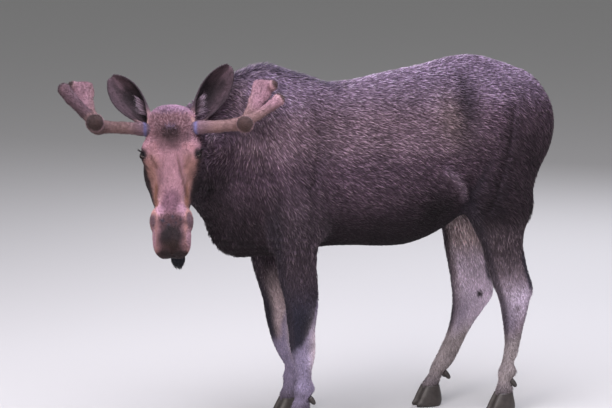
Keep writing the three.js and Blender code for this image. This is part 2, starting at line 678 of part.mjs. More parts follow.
const eyes = { eye_right: -1, eye_left: 1 };
const eyeBall = (side, grow) => ball(headPoint(EYE_PLACE[0], side * EYE_PLACE[1], EYE_PLACE[2]),
  Array(3).fill(EYE_RADIUS + grow));
add('trunk', trunkSolid(0), 'coat');
add('neck', cut(neckSolid(0), headCutter), 'coat');
add('head', cut(headSolid(0), ...Object.values(eyes).map((side) => eyeBall(side, GAP))), 'face');
for (const [name, side] of Object.entries(eyes)) add(name, eyeBall(side, 0), 'eye');
for (const [name, ear] of Object.entries(EARS)) {
  add(name, cut(earSolid(ear), headCutter, neckCutter), 'coat');
}
add('tail', cut(ball(TAIL.centre, TAIL.radii), trunkCutter), 'coat');
add('bell', cut(bellSolid(), headCutter, neckCutter), 'coat');

for (const [side, limbs] of Object.entries(ANTLERS)) {
  const cutters = [headCutter];
  for (const [limb, chain] of Object.entries(limbs)) {
    const steps = chain.length;
    add(`antler_${side}_${limb}`, cut(limbSolid(chain, 8, 0, steps), ...cutters), 'velvet');
    cutters.push(limbSolid(chain, 8, GAP, steps));
  }
}

for (const [name, leg] of Object.entries(LEGS)) {
  const top = leg.dent[1];
  const upper = range(leg.joint + GAP / 2, top, 7);
  const lower = range(COAT_LINE, leg.joint - GAP / 2, 9);
  add(`${name}_upper`, cut(legSolid(leg, upper, 12), trunkCutter), 'coat');
  const shank = legSolid(leg, lower, 10);
  add(`${name}_lower`, shank, 'shank');
  const shankCutter = legSolid(leg, lower, 10, GAP);
  const footY = leg.side * leg.centre(COAT_LINE);
  for (const [digit, side] of Object.entries({ outer: leg.side, inner: -leg.side })) {
    add(`${name}_hoof_${digit}`, digitSolid(leg.foot, footY, side), 'hoof');
    const clawX = leg.back(DEWCLAW.height) - DEWCLAW.sunk;
    const claw = dewclawSolid(clawX, footY + side * DEWCLAW.apart, DEWCLAW.height);
    add(`${name}_dewclaw_${digit}`, cut(claw, shankCutter), 'hoof');
  }
}

export default moose;
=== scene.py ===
"""A young bull moose in velvet, life-size, standing with its head turned to its left.

Shapes are worked out in millimetres in the animal's own frame: it faces -X, its left side is -Y
and +Z is up. The body is one smooth surface, field(p) = 0, made of lofted sections and ellipsoids
that are blended into each other. to_frame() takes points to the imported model's frame, in metres.
"""

import bpy
import numpy as np
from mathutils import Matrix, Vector


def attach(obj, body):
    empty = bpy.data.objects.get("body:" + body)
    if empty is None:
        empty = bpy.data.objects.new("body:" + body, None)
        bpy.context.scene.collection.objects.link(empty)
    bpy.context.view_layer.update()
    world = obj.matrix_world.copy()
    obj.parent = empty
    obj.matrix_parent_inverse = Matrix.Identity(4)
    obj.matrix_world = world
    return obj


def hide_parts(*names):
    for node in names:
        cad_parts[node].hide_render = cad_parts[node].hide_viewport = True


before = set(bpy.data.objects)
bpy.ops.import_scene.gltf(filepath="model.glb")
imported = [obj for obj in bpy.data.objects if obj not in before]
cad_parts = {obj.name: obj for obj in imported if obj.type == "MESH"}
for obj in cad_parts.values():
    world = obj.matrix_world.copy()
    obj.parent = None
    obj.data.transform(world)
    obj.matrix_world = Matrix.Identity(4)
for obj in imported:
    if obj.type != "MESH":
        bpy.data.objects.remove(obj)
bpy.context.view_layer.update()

CENTRE = np.array([49.0, -67.0, 0.0])          # the animal's place that lies at the frame's origin
MM = 0.001
rng = np.random.default_rng(20)


def to_frame(p):
    """Millimetres in the animal's frame to metres in the model's."""
    return (np.asarray(p, float) - CENTRE) * MM


# ---------------------------------------------------------------- camera

VIEW_AZIMUTH = np.radians(-22.0)
VIEW_HEIGHT = np.radians(9.0)
VIEW_DISTANCE = 16.0
VIEW_TARGET = to_frame([0.0, 0.0, 1080.0])
SENSOR = 36.0
FRAME_WIDTH = 2.95                              # metres across the picture at the target


def add_camera():
    """Camera on a circle round the target, with a lens that spans FRAME_WIDTH there."""
    away = Vector((np.sin(VIEW_AZIMUTH) * np.cos(VIEW_HEIGHT),
                   -np.cos(VIEW_AZIMUTH) * np.cos(VIEW_HEIGHT), np.sin(VIEW_HEIGHT)))
    data = bpy.data.cameras.new("camera")
    data.sensor_width = SENSOR
    data.lens = SENSOR * VIEW_DISTANCE / FRAME_WIDTH
    data.clip_end = 200.0
    camera = bpy.data.objects.new("camera", data)
    camera.location = Vector(VIEW_TARGET) + away * VIEW_DISTANCE
    camera.rotation_euler = away.to_track_quat("Z", "Y").to_euler()
    bpy.context.scene.collection.objects.link(camera)
    bpy.context.scene.camera = camera


add_camera()


# ---------------------------------------------------------------- numeric tools


def unit(v):
    """v at length 1."""
    return v / (np.linalg.norm(v, axis=-1, keepdims=True) + 1e-12)


def curve(*stations):
    """Smooth curve through stations (t, value): cubic Hermite pieces whose slope at a station is
    the mean of its neighbours' slopes. It is kept as a table, so looking it up is quick."""
    t, v = np.array(stations, float).T
    step = np.diff(t)
    secant = np.diff(v) / step
    slope = np.concatenate([secant[:1], (secant[:-1] * step[1:] + secant[1:] * step[:-1])
                            / (step[1:] + step[:-1]), secant[-1:]])
    table = np.linspace(t[0], t[-1], 1500)
    i = np.clip(np.searchsorted(t, table, side="right") - 1, 0, len(t) - 2)
    u = (table - t[i]) / step[i]
    w = 1 - u
    values = ((1 + 2 * u) * w * w * v[i] + u * w * w * step[i] * slope[i]
              + u * u * (3 - 2 * u) * v[i + 1] - u * u * w * step[i] * slope[i + 1])
    return lambda at: np.interp(at, table, values)


def ease(x, low, high):
    """0 below low, 1 above high, with a smooth step between."""
    t = np.clip((x - low) / (high - low), 0, 1)
    return t * t * (3 - 2 * t)


def mix(a, b, t):
    """a at t = 0, b at t = 1, straight between."""
    return a + (b - a) * t


def blend(a, b, k):
    """Smooth union of two distances over a width k."""
    h = np.clip(0.5 + 0.5 * (b - a) / k, 0, 1)
    return mix(b, a, h) - k * h * (1 - h)


def carve(a, b, k):
    """a with the inside of b taken away, rounded over a width k."""
    return -blend(-a, b, k)


def excess(s, low, high, k):
    """How far s lies outside low..high, rounded at both limits."""
    zero = np.zeros_like(s)
    return -blend(high - s, zero, k) + blend(s - low, zero, k)


def section(offsets, halves, power):
    """Distance outside a superellipse of those half sizes, along the ray from its centre."""
    scaled = sum(np.abs(o / h) ** power for o, h in zip(offsets, halves)) ** (1 / power)
    r = np.sqrt(sum(o * o for o in offsets))
    return r - r / np.maximum(scaled, 1e-6)


def ellipsoid(p, centre, radii):
    """Near distance from an ellipsoid: its scaled radius, less 1, over the slope of that."""
    q = (p - np.array(centre, float)) / np.array(radii, float)
    near = np.linalg.norm(q, axis=-1)
    return near * (near - 1) / (np.linalg.norm(q / np.array(radii, float), axis=-1) + 1e-9)


def hill(p, centre, radii):
    """1 at the centre, falling off as a bell curve over the radii."""
    q = (p - np.array(centre, float)) / np.array(radii, float)
    return np.exp(-(q * q).sum(-1))


def path_distance(p, path):
    """Distance from each point to a chain of straight pieces."""
    best = np.full(len(p), np.inf)
    for a, b in zip(np.array(path[:-1], float), np.array(path[1:], float)):
        t = np.clip((p - a) @ (b - a) / ((b - a) @ (b - a)), 0, 1)
        best = np.minimum(best, np.linalg.norm(p - a - t[:, None] * (b - a), axis=1))
    return best


def noise(p, cell, seed=0):
    """Smooth value noise, -1 to 1: hashed numbers on a lattice of that cell, eased between."""
    q = p / cell
    base = np.floor(q).astype(np.int64)
    f = q - base
    f = f * f * (3 - 2 * f)
    total = 0
    for corner in np.ndindex(2, 2, 2):
        c = base + corner
        h = c[:, 0] * 73856093 ^ c[:, 1] * 19349663 ^ c[:, 2] * 83492791 ^ (seed * 2654435 + 97)
        h = (h ^ (h >> 13)) * 1274126177 & 0x7FFFFFFF
        h = (h ^ (h >> 16)) % 65536 / 32767.5 - 1
        weight = np.prod(np.where(corner, f, 1 - f), axis=1)
        total = total + h * weight
    return total


# ---------------------------------------------------------------- trunk and neck

BEND_X, BEND_R = -300.0, 600.0                  # where the neck starts to turn left, and how tightly
NECK_END, TRUNK_END = -760.0, 1130.0
NECK_CAP, RUMP_CAP = 95.0, 122.0

back_line = curve((-790, 1560), (-700, 1585), (-600, 1622), (-480, 1690), (-364, 1741),
                  (-226, 1776), (-108, 1742), (0, 1712), (98, 1676), (203, 1674), (360, 1695),
                  (597, 1733), (760, 1764), (870, 1771), (1000, 1738), (1080, 1707), (1190, 1643),
                  (1260, 1580))
belly_line = curve((-790, 1225), (-700, 1180), (-620, 1125), (-560, 1072), (-500, 1000),
                   (-443, 920), (-367, 866), (-228, 838), (-100, 842), (52, 866), (204, 864),
                   (347, 852), (495, 853), (602, 881), (700, 925), (800, 985), (900, 1040),
                   (1050, 1100), (1200, 1200))
half_width = curve((-790, 118), (-700, 122), (-600, 135), (-480, 158), (-350, 200), (-200, 232),
                   (-50, 252), (120, 285), (300, 318), (480, 326), (650, 305), (800, 275),
                   (950, 255), (1080, 225), (1200, 165))
widest_at = curve((-790, 1400), (-600, 1380), (-400, 1330), (-200, 1260), (0, 1230), (300, 1215),
                  (500, 1225), (700, 1290), (850, 1400), (1000, 1450), (1200, 1430))
top_taper = curve((-790, .35), (-600, .45), (-400, .52), (-226, .56), (0, .48), (200, .42),
                  (450, .35), (700, .42), (850, .5), (1000, .45), (1200, .3))


def along_spine(p):
    """Length s along the spine and distance d to the right of it: a straight line to BEND_X and
    an arc of radius BEND_R beyond."""
    ahead = BEND_X - p[..., 0]
    aside = p[..., 1] + BEND_R
    bent = ahead > 0
    s = np.where(bent, BEND_X - BEND_R * np.arctan2(ahead, aside), p[..., 0])
    d = np.where(bent, np.hypot(ahead, aside) - BEND_R, p[..., 1])
    return s, d


def spine_direction(s):
    """Level direction of growing s, from head to tail."""
    angle = np.maximum(0, (BEND_X - s) / BEND_R)
    return np.stack([np.cos(angle), np.sin(angle), 0 * angle], -1)


def trunk_field(p):
    """Superellipse sections along the spine, from back to belly line, taller than wide, narrowed
    towards the top and rounded off at both ends."""
    s, d = along_spine(p)
    e = excess(s, NECK_END, TRUNK_END, 90)
    at = s - e
    middle, z = widest_at(at), p[..., 2]
    up, down = back_line(at) - middle, middle - belly_line(at)
    rise = np.clip((z - middle) / up, 0, 1)
    drop = np.clip((middle - z) / down, 0, 1)
    width = half_width(at) * (1 - top_taper(at) * rise ** 1.6) * (1 - 0.12 * drop ** 2)
    return section((d, z - middle, e), (width, np.where(z > middle, up, down),
                                        np.where(s < 0, NECK_CAP, RUMP_CAP)), 2.25)


def torso_field(p):
    """Trunk and neck with the shoulder blades, upper arms, hips and brisket."""
    mirrored = p * [1, 0, 1] + np.abs(p) * [0, 1, 0]
    f = trunk_field(p)
    f = blend(f, ellipsoid(mirrored, (-190, 112, 1340), (150, 108, 290)), 150)
    f = blend(f, ellipsoid(mirrored, (-95, 160, 1180), (175, 100, 190)), 110)
    f = blend(f, ellipsoid(mirrored, (1005, 120, 1430), (225, 135, 220)), 110)
    return blend(f, ellipsoid(p, (-370, 0, 985), (120, 110, 130)), 70)


# ---------------------------------------------------------------- legs

COAT_LINE = 100.0                               # height of the coronet, where hair meets hoof
fore_thick = curve((120, 36), (160, 34), (205, 44), (250, 38), (320, 35), (420, 37), (500, 47),
                   (560, 55), (610, 52), (680, 50), (780, 58), (900, 72), (1000, 82), (1150, 92))
hind_thick = curve((120, 37), (160, 35), (205, 45), (260, 38), (340, 36), (430, 39), (520, 46),
                   (590, 48), (650, 45), (720, 50), (850, 68), (950, 88), (1050, 105),
                   (1200, 125), (1400, 128))
fore_centre = curve((100, 150), (500, 158), (800, 160), (1000, 165), (1150, 150))
hind_centre = curve((100, 150), (400, 160), (600, 165), (850, 170), (1050, 165), (1250, 140),
                    (1400, 110))

LEGS = {
    "fore_left": dict(
        side=-1, top=1100, cap=160, centre=fore_centre, thick=fore_thick, foot=-90, blend=75,
        front=curve((120, -138), (160, -120), (205, -122), (250, -112), (300, -116), (360, -132),
                    (420, -147), (480, -152), (540, -160), (600, -166), (660, -178), (740, -202),
                    (815, -214), (890, -226), (1000, -250), (1150, -290)),
        back=curve((120, -40), (160, -42), (205, -18), (250, -34), (300, -32), (360, -18),
                   (420, -15), (480, -18), (540, -14), (600, -6), (660, -2), (740, -4),
                   (815, -10), (890, -4), (1000, 20), (1150, 40))),
    "fore_right": dict(
        side=1, top=1100, cap=160, centre=fore_centre, thick=fore_thick, foot=-34, blend=75,
        front=curve((120, -78), (160, -60), (205, -58), (250, -48), (275, -57), (308, -78),
                    (360, -104), (438, -130), (513, -146), (588, -158), (664, -182), (740, -208),
                    (815, -226), (890, -236), (1000, -254), (1150, -290)),
        back=curve((120, 10), (160, 14), (205, 34), (250, 12), (275, 1), (308, -4), (360, -9),
                   (438, -18), (513, -28), (588, -38), (664, -50), (740, -45), (815, -30),
                   (890, -14), (1000, 16), (1150, 40))),
    "hind_left": dict(
        side=-1, top=1380, cap=150, centre=hind_centre, thick=hind_thick, foot=990, blend=70,
        front=curve((120, 948), (160, 962), (205, 962), (250, 980), (300, 989), (340, 992),
                    (417, 986), (490, 974), (566, 957), (606, 941), (640, 924), (690, 907),
                    (770, 880), (845, 858), (920, 819), (995, 775), (1080, 748), (1200, 770),
                    (1400, 860)),
        back=curve((120, 1040), (160, 1030), (205, 1056), (250, 1040), (300, 1060), (340, 1068),
                   (417, 1085), (490, 1103), (566, 1121), (606, 1134), (640, 1131), (690, 1114),
                   (770, 1091), (845, 1079), (920, 1088), (1001, 1123), (1050, 1130),
                   (1124, 1132), (1196, 1155), (1269, 1172), (1400, 1185))),
    "hind_right": dict(
        side=1, top=1380, cap=150, centre=hind_centre, thick=hind_thick, foot=728, blend=70,
        front=curve((110, 685), (146, 715), (194, 738), (242, 765), (290, 790), (340, 815),
                    (404, 838), (463, 849), (527, 854), (562, 852), (640, 842), (717, 827),
                    (793, 812), (870, 800), (940, 780), (1000, 765), (1080, 752), (1200, 770),
                    (1400, 860)),
        back=curve((110, 775), (146, 790), (194, 835), (242, 872), (290, 900), (340, 927),
                   (404, 971), (463, 1020), (527, 1068), (562, 1076), (640, 1062), (717, 1047),
                   (793, 1032), (870, 1025), (940, 1042), (1001, 1070), (1050, 1092),
                   (1124, 1106), (1196, 1136), (1269, 1162), (1400, 1185))),
}


def leg_field(leg, p):
    """Stack of level superellipses between the leg's front and back edges."""
    z = p[..., 2]
    at = np.clip(z, COAT_LINE, leg["top"])
    front, back = leg["front"](at), leg["back"](at)
    over = z - at
    return section((p[..., 0] - (front + back) / 2, p[..., 1] - leg["side"] * leg["centre"](at), over),
                   ((back - front) / 2, leg["thick"](at), np.where(over > 0, leg["cap"], 30)), 2.2)


# ---------------------------------------------------------------- head

# Head coordinates: l runs down the face from the line between the eyes, w to the animal's
# left, and n out of the face.
EYE_LINE = np.array([-790.0, -275.0, 1435.0])
HEADING, FACE_TILT, HEAD_ROLL = np.radians([68.0, 20.0, 1.1])
forward = np.array([-np.cos(HEADING), -np.sin(HEADING), 0])
level = np.array([np.sin(HEADING), -np.cos(HEADING), 0])
steep = np.array([0, 0, -np.cos(FACE_TILT)]) + np.sin(FACE_TILT) * forward
OUT = np.array([0, 0, np.sin(FACE_TILT)]) + np.cos(FACE_TILT) * forward
DOWN_FACE = steep * np.cos(HEAD_ROLL) + level * np.sin(HEAD_ROLL)
ACROSS = level * np.cos(HEAD_ROLL) - steep * np.sin(HEAD_ROLL)
HEAD_AXES = np.stack([DOWN_FACE, ACROSS, OUT], 1)


def to_head(p):
    """A place in the animal's frame in head coordinates l, w, n."""
    return (p - EYE_LINE) @ HEAD_AXES


def from_head(q):
    """Head coordinates l, w, n in the animal's frame."""
    return EYE_LINE + np.asarray(q, float) @ HEAD_AXES.T


face_line = curve((-170, -30), (-130, -2), (-90, 8), (-40, 6), (10, 0), (70, -12), (140, -22),
                  (210, -20), (280, -8), (340, 8), (400, 20), (450, 20), (485, 8))
nose_depth = curve((-170, 75), (-90, 85), (0, 80), (100, 70), (200, 62), (280, 62), (340, 72),
                   (400, 80), (450, 84), (485, 80))
nose_width = curve((-190, 92), (-114, 108), (-60, 109), (-25, 113), (20, 112), (60, 98), (100, 82),
                   (150, 69), (200, 62), (245, 63), (285, 72), (320, 83), (351, 87), (385, 83),
                   (412, 79), (450, 80), (485, 78))
jaw_middle = curve((-90, -165), (0, -172), (100, -176), (200, -158), (300, -132), (360, -125))
jaw_depth = curve((-90, 100), (0, 118), (80, 116), (150, 98), (220, 78), (300, 62), (360, 55))
jaw_width = curve((-90, 92), (-30, 108), (30, 121), (80, 126), (133, 121), (185, 107), (237, 91),
                  (275, 77), (330, 62), (360, 56))

EYE_RADIUS = 20.0
EYE_PLACE = np.array([27.0, 121.0, -48.0])      # the left eye; the right one is its mirror image
EYE_AXIS = unit(np.array([-0.02, 0.82, 0.57]))  # where the pupil points
EYE_LONG = unit(np.cross(np.cross(EYE_AXIS, [0.62, -0.2, 0.76]), EYE_AXIS))
EYE_TALL = np.cross(EYE_AXIS, EYE_LONG)


def paired(q):
    """Head coordinates with both halves folded onto the left one, rounded over the middle."""
    return np.stack([q[..., 0], np.sqrt(q[..., 1] ** 2 + 144) - 3, q[..., 2]], -1)


def head_field(p):
    """The head's mass: a long nose and brow, a jaw under it, and the muscles and lips on them."""
    q = to_head(p)
    l, w, n = q[..., 0], q[..., 1], q[..., 2]
    half = paired(q)
    e = excess(l, -140, 425, 60)
    at = l - e
    depth = nose_depth(at)
    f = section((w, n - face_line(at) + depth, e),
                (nose_width(at), depth, np.where(l < 0, 78, 82)), 2.35)
    e = excess(l, -50, 300, 60)
    at = l - e
    f = blend(f, section((w, n - jaw_middle(at), e), (jaw_width(at), jaw_depth(at),
                                                      np.where(l < 100, 80, 70)), 2.3), 38)
    f = blend(f, ellipsoid(half, (18, 94, -68), (68, 42, 58)), 46)        # brow and eye socket
    f = blend(f, ellipsoid(half, (-92, 74, -64), (40, 38, 40)), 30)       # where the antler grows
    f = blend(f, ellipsoid(half, (338, 62, -44), (58, 33, 52)), 40)       # nostril wing
    f = blend(f, ellipsoid(half, (440, 36, -50), (74, 46, 72)), 34)       # upper-lip lobe
    f = blend(f, ellipsoid(q, (402, 0, -146), (76, 50, 42)), 34)          # lower lip and chin
    f = blend(f, ellipsoid(half, (60, 88, -195), (95, 34, 80)), 40)       # jaw muscle
    return blend(f, ellipsoid(q, (-120, 0, -130), (75, 92, 90)), 60)      # back of the skull


NOSTRIL = np.array([350.0, 82.0, -46.0])
NOSTRIL_LONG = unit(np.array([0.75, -0.25, 0.6]))
MOUTH_LINE = curve((285, -118), (330, -112), (380, -106), (430, -104), (500, -100))


def head_detail(f, p):
    """The head's skin with its lids round an almond opening, comma-shaped nostrils, the slit
    between the lips, the hollow in front of each eye and the ridge over it."""
    q = to_head(p)
    l, n = q[..., 0], q[..., 2]
    half = paired(q)
    eye = half - EYE_PLACE
    reach = np.linalg.norm(eye, axis=-1)
    f = f + 5 * hill(half, (70, 104, -34), (20, 14, 22))                  # tear pit
    f = f - 5 * hill(half, (-10, 104, -28), (15, 26, 22))                 # brow ridge
    f = f + 5 * hill(half, (250, 66, -58), (60, 22, 30))                  # hollow behind the nostril
    f = f - 4 * hill(half, (150, 74, -60), (90, 18, 16))                  # cheek ridge
    f = f + 3 * hill(half, (105, 52, -8), (60, 14, 40))                   # furrow beside the bridge
    f = f + 4 * hill(q, (470, 0, 0), (60, 9, 60))                         # groove of the upper lip
    f = f + 3 * hill(half, (392, 84, -40), (12, 20, 40))                  # crease over the lip
    f = blend(f, reach - EYE_RADIUS - 3.4, 8)                             # lids over the eyeball
    f = carve(f, reach - EYE_RADIUS - 0.4, 1)
    along, tall, out = eye @ EYE_LONG, eye @ EYE_TALL, eye @ EYE_AXIS
    almond = (np.hypot(along / 18, (tall - 1) / 11.5) - 1) * 11
    f = carve(f, np.maximum(almond, 4 - out), 2)
    pit = half - NOSTRIL
    length = pit @ NOSTRIL_LONG
    bow = pit - length[..., None] * NOSTRIL_LONG
    opening = np.hypot(length / 25, np.linalg.norm(bow, axis=-1) / (11 + 0.12 * length)) - 1
    f = carve(f, opening * 10, 5)
    slit = np.abs(n - MOUTH_LINE(l)) - 2.5
    return carve(f, np.maximum(slit, 300 - l), 4)


# An ear is a shell rolled round its own axis. Its radius, the half angle of its roll and how
# far its back lies behind the axis are curves of the distance from its base.
EAR_LENGTH, EAR_WALL = 300.0, 9.0
ear_radius = curve((0, 32), (40, 42), (100, 60), (160, 70), (220, 64), (270, 42), (290, 26), (300, 12))
ear_roll = curve((0, 2.7), (30, 2.3), (80, 1.75), (160, 1.45), (230, 1.3), (300, 1.2))
ear_back = curve((0, 32), (60, 50), (150, 64), (230, 60), (300, 48))
EARS = {
    "right": dict(base=(-152, -112, -128), tip=(-392, -300, -185), opens=(0.1, -0.2, 1)),
    "left": dict(base=(-152, 112, -128), tip=(-402, 292, -95), opens=(0.1, 0.45, 1)),
}


def ear_axes(ear):
    """An ear's base and span, and the unit vectors along it, out of its opening and aside."""
    base = np.array(ear["base"], float)
    axis = np.array(ear["tip"], float) - base
    span = np.linalg.norm(axis)
    axis = axis / span
    front = np.array(ear["opens"], float)
    front = unit(front - axis * (axis @ front))
    return base, span, axis, front, np.cross(axis, front)


def ear_place(ear, p):
    """Length along the ear, angle round its roll (0 at the back) and distance from its axis."""
    base, span, axis, front, side = ear_axes(ear)
    q = to_head(p) - base
    t = (q @ axis) * EAR_LENGTH / span
    at = np.clip(t, 0, EAR_LENGTH)
    ahead = q @ front - (ear_radius(at) - ear_back(at))
    aside = q @ side
    return t, np.arctan2(aside, -ahead), np.hypot(aside, ahead)


def ear_field(ear, p):
    """A wall of EAR_WALL round the ear's axis, cut at the rim of its roll and at both ends."""
    t, angle, rho = ear_place(ear, p)
    at = np.clip(t, 0, EAR_LENGTH)
    shell = np.abs(rho - ear_radius(at)) - EAR_WALL / 2
    rim = (np.abs(angle) - ear_roll(at)) * np.maximum(rho, 8)
    end = np.maximum(t - EAR_LENGTH, -t - 10)
    return carve(carve(shell, -rim, 6), -end, 6)


# ---------------------------------------------------------------- bell and tail

bell_x = curve((852, -705), (1010, -709), (1205, -722))
bell_y = curve((852, -136), (1010, -136), (1205, -142))
bell_thick = curve((852, 20), (876, 30), (930, 32), (1010, 25), (1110, 30), (1205, 36))


def bell_field(p):
    """The flap of skin and hair that hangs from the throat: round sections down a gentle curve."""
    z = p[..., 2]
    at = np.clip(z, 866, 1205)
    thick = bell_thick(at)
    return section((p[..., 0] - bell_x(at), p[..., 1] - bell_y(at), z - at), (thick, thick, 16), 2)


# a stub that hangs against the rump, drawn as one ellipsoid
TAIL = dict(centre=(1255, 0, 1500), radii=(42, 26, 66))


# ---------------------------------------------------------------- the hide

HEAD_BLEND, BELL_BLEND, EAR_BLEND = 55, 24, 16  # how widely each joins the body, in mm


def body_parts(p):
    """Distances to the trunk with its legs and tail, to the head, the bell and the nearer ear."""
    body = torso_field(p)
    for leg in LEGS.values():
        body = blend(body, leg_field(leg, p), leg["blend"])
    body = blend(body, ellipsoid(p, TAIL["centre"], TAIL["radii"]), 25)
    ear = np.minimum(ear_field(EARS["right"], p), ear_field(EARS["left"], p))
    return body, head_field(p), bell_field(p), ear


def mane(p):
    """1 on the crest of the hump and the nape, where the hair is longest."""
    s, d = along_spine(p)
    high = ease(p[..., 2], back_line(s) - 80, back_line(s) - 15)
    return high * ease(s, -640, -500) * (1 - ease(s, 20, 230)) * np.exp(-(d / 75) ** 2)


def coat_depths(p):
    """Depth of the coat in mm on the body, head, bell and ears: deep on the neck's crest, thin on
    the face, ears and legs."""
    z, q = p[..., 2], to_head(p)
    body = mix(4, 11, ease(z, 520, 980)) + 15 * mane(p)
    head = mix(5.5, 3, ease(q[..., 0], -60, 60)) + 3 * ease(-q[..., 2], 110, 190)
    return body, head, 4.0, 1.2


def skin_parts(p):
    """The four distances again, to the bare skin that lies under the coat."""
    body, head, bell, ear = (part + depth for part, depth in zip(body_parts(p), coat_depths(p)))
    return body, head, bell, ear


def skin_field(p):
    """Smooth union of the body, the detailed head, the bell and the ears."""
    body, head, bell, ear = skin_parts(p)
    f = blend(body, head_detail(head, p), HEAD_BLEND)
    return blend(blend(f, bell, BELL_BLEND), ear, EAR_BLEND)


def shares(p):
    """How far each point belongs to the head, an ear or the bell, from 0 to 1."""
    body, head, bell, ear = skin_parts(p)
    rest = blend(body, head, HEAD_BLEND)
    return (ease(body - head, -15, 45), ease(rest - ear, -1, 12),
            ease(np.minimum(body, head) - bell, -5, 20))


def coat_depth(p, is_head, is_ear, is_bell):
    """Depth of the coat at each point of the skin, in mm."""
    body, head, bell, ear = coat_depths(p)
    return mix(mix(mix(body, head, is_head), bell, is_bell), ear, is_ear)


# ---------------------------------------------------------------- surfaces from fields

HEAD_MIDDLE = from_head((20, 0, -90))
HEAD_REACH = 440.0                              # the mesh is this much finer within this reach
HEAD_ZOOM = 3.1
ZOOM_FADE = 800.0


def zoomed(q):
    """From stretched space to millimetres: distances from the head's middle are divided by
    HEAD_ZOOM near it and by less and less over ZOOM_FADE, so an even net in stretched space is
    finer on the head."""
    d = q - HEAD_MIDDLE
    r = np.linalg.norm(d, axis=-1, keepdims=True)
    near = HEAD_REACH * HEAD_ZOOM
    fade = np.clip((r - near) / ZOOM_FADE, 0, 1)
    grown = 1 / HEAD_ZOOM * np.minimum(r, near)
    # slope from 1/zoom to 1 as an eased step: its integral over the fade
    eased = fade ** 3 - fade ** 4 / 2
    grown = grown + ZOOM_FADE * (fade / HEAD_ZOOM + (1 - 1 / HEAD_ZOOM) * eased)
    grown = grown + np.maximum(r - near - ZOOM_FADE, 0)
    return HEAD_MIDDLE + d * grown / np.maximum(r, 1e-6)


def stretched(p):
    """The inverse of zoomed, for a few points, by bisection."""
    d = np.asarray(p, float) - HEAD_MIDDLE
    r = np.linalg.norm(d, axis=-1, keepdims=True)
    low, high = np.zeros_like(r), np.full_like(r, 8000.0)
    way = unit(d)
    for _ in range(40):
        half = (low + high) / 2
        moved = zoomed(HEAD_MIDDLE + way * half) - HEAD_MIDDLE
        past = np.linalg.norm(moved, axis=-1, keepdims=True) > r
        high, low = np.where(past, half, high), np.where(past, low, half)
    return HEAD_MIDDLE + way * low


BLOCK = 8                                       # cells along a block's side


def surface_net(field, low, high, cell, place):
    """Closed quad mesh of field(place(q)) = 0 by surface nets: one vertex in each cell that the
    surface crosses, at the mean of the crossings on its edges, and one quad over each crossed
    grid edge. Only blocks that may hold the surface are worked out."""
    low = np.asarray(low, float)
    blocks = np.ceil((np.asarray(high, float) - low) / (cell * BLOCK)).astype(int)
    ids = np.stack(np.meshgrid(*[np.arange(b) for b in blocks], indexing="ij"), -1).reshape(-1, 3)
    side = cell * BLOCK
    middle = low + (ids + 0.5) * side
    spots = place(middle)
    size = np.linalg.norm(place(middle + side / 2) - spots, axis=1)
    ids = ids[np.abs(field(spots)) < 1.9 * size]
    steps = np.arange(BLOCK + 1)
    local = np.stack(np.meshgrid(steps, steps, steps, indexing="ij"), -1)
    at = low + (ids[:, None, None, None] * BLOCK + local) * cell
    values = np.concatenate([field(place(part)) for part in np.array_split(at, max(1, len(at) // 150))])
    inside = values < 0
    count = sum(inside[(slice(None),) + tuple(slice(c, c + BLOCK) for c in corner)].astype(np.int8)
                for corner in np.ndindex(2, 2, 2))
    b, i, j, k = np.nonzero((count > 0) & (count < 8))
    cells = ids[b] * BLOCK + np.stack([i, j, k], 1)
    corner_values = {c: values[b, i + c[0], j + c[1], k + c[2]] for c in np.ndindex(2, 2, 2)}
    total, crossings = np.zeros((len(b), 3)), np.zeros(len(b))
    for axis in range(3):
        for c in np.ndindex(2, 2, 2):
            if c[axis]:
                continue
            other = tuple(v + (a == axis) for a, v in enumerate(c))
            first, second = corner_values[c], corner_values[other]
            crossed = (first < 0) != (second < 0)
            t = np.where(crossed, first / np.where(crossed, first - second, 1), 0)
            spot = np.array(c, float) + t[:, None] * (np.arange(3) == axis)
            total += np.where(crossed[:, None], spot, 0)
            crossings += crossed
    points = place(low + (cells + total / crossings[:, None]) * cell)
    grid = blocks * BLOCK + 2
    flat = lambda c: ((c[:, 0] + 1) * grid[1] + c[:, 1] + 1) * grid[2] + c[:, 2] + 1
    keys = flat(cells)
    order = np.argsort(keys)
    quads = []
    for axis in range(3):
        other = tuple(int(a == axis) for a in range(3))
        first, second = corner_values[(0, 0, 0)], corner_values[other]
        crossed = np.nonzero((first < 0) != (second < 0))[0]
        one, two = np.eye(3, dtype=int)[(axis + 1) % 3], np.eye(3, dtype=int)[(axis + 2) % 3]
        ring = []
        for shift in (0 * one, one, one + two, two):
            wanted = flat(cells[crossed] - shift)
            ring.append(order[np.searchsorted(keys[order], wanted)])
        ring = np.stack(ring, 1)
        quads.append(np.where((first[crossed] < 0)[:, None], ring, ring[:, ::-1]))
    return points, np.concatenate(quads)


def smoothed(values, quads, count):
    """Mean of each vertex's neighbours along the quads' edges."""
    a = quads.ravel()
    b = np.roll(quads, -1, axis=1).ravel()
    ends, others = np.concatenate([a, b]), np.concatenate([b, a])
    total = np.stack([np.bincount(ends, values[others, c], count) for c in range(3)], 1)
    return total / np.maximum(np.bincount(ends, minlength=count), 1)[:, None]


def settle(field, points, quads, rounds):
    """Evens out the net along the surface and puts every vertex back on field = 0."""
    for _ in range(rounds):
        normal, _ = quad_normals(points, quads)
        pull = smoothed(points, quads, len(points)) - points
        pull -= normal * (pull * normal).sum(1, keepdims=True)
        points = points + 0.5 * pull
        value = field(points)
        steep = np.maximum(field(points + normal) - value, 0.35)
        points = points - normal * np.clip(value / steep, -4, 4)[:, None]
    return points


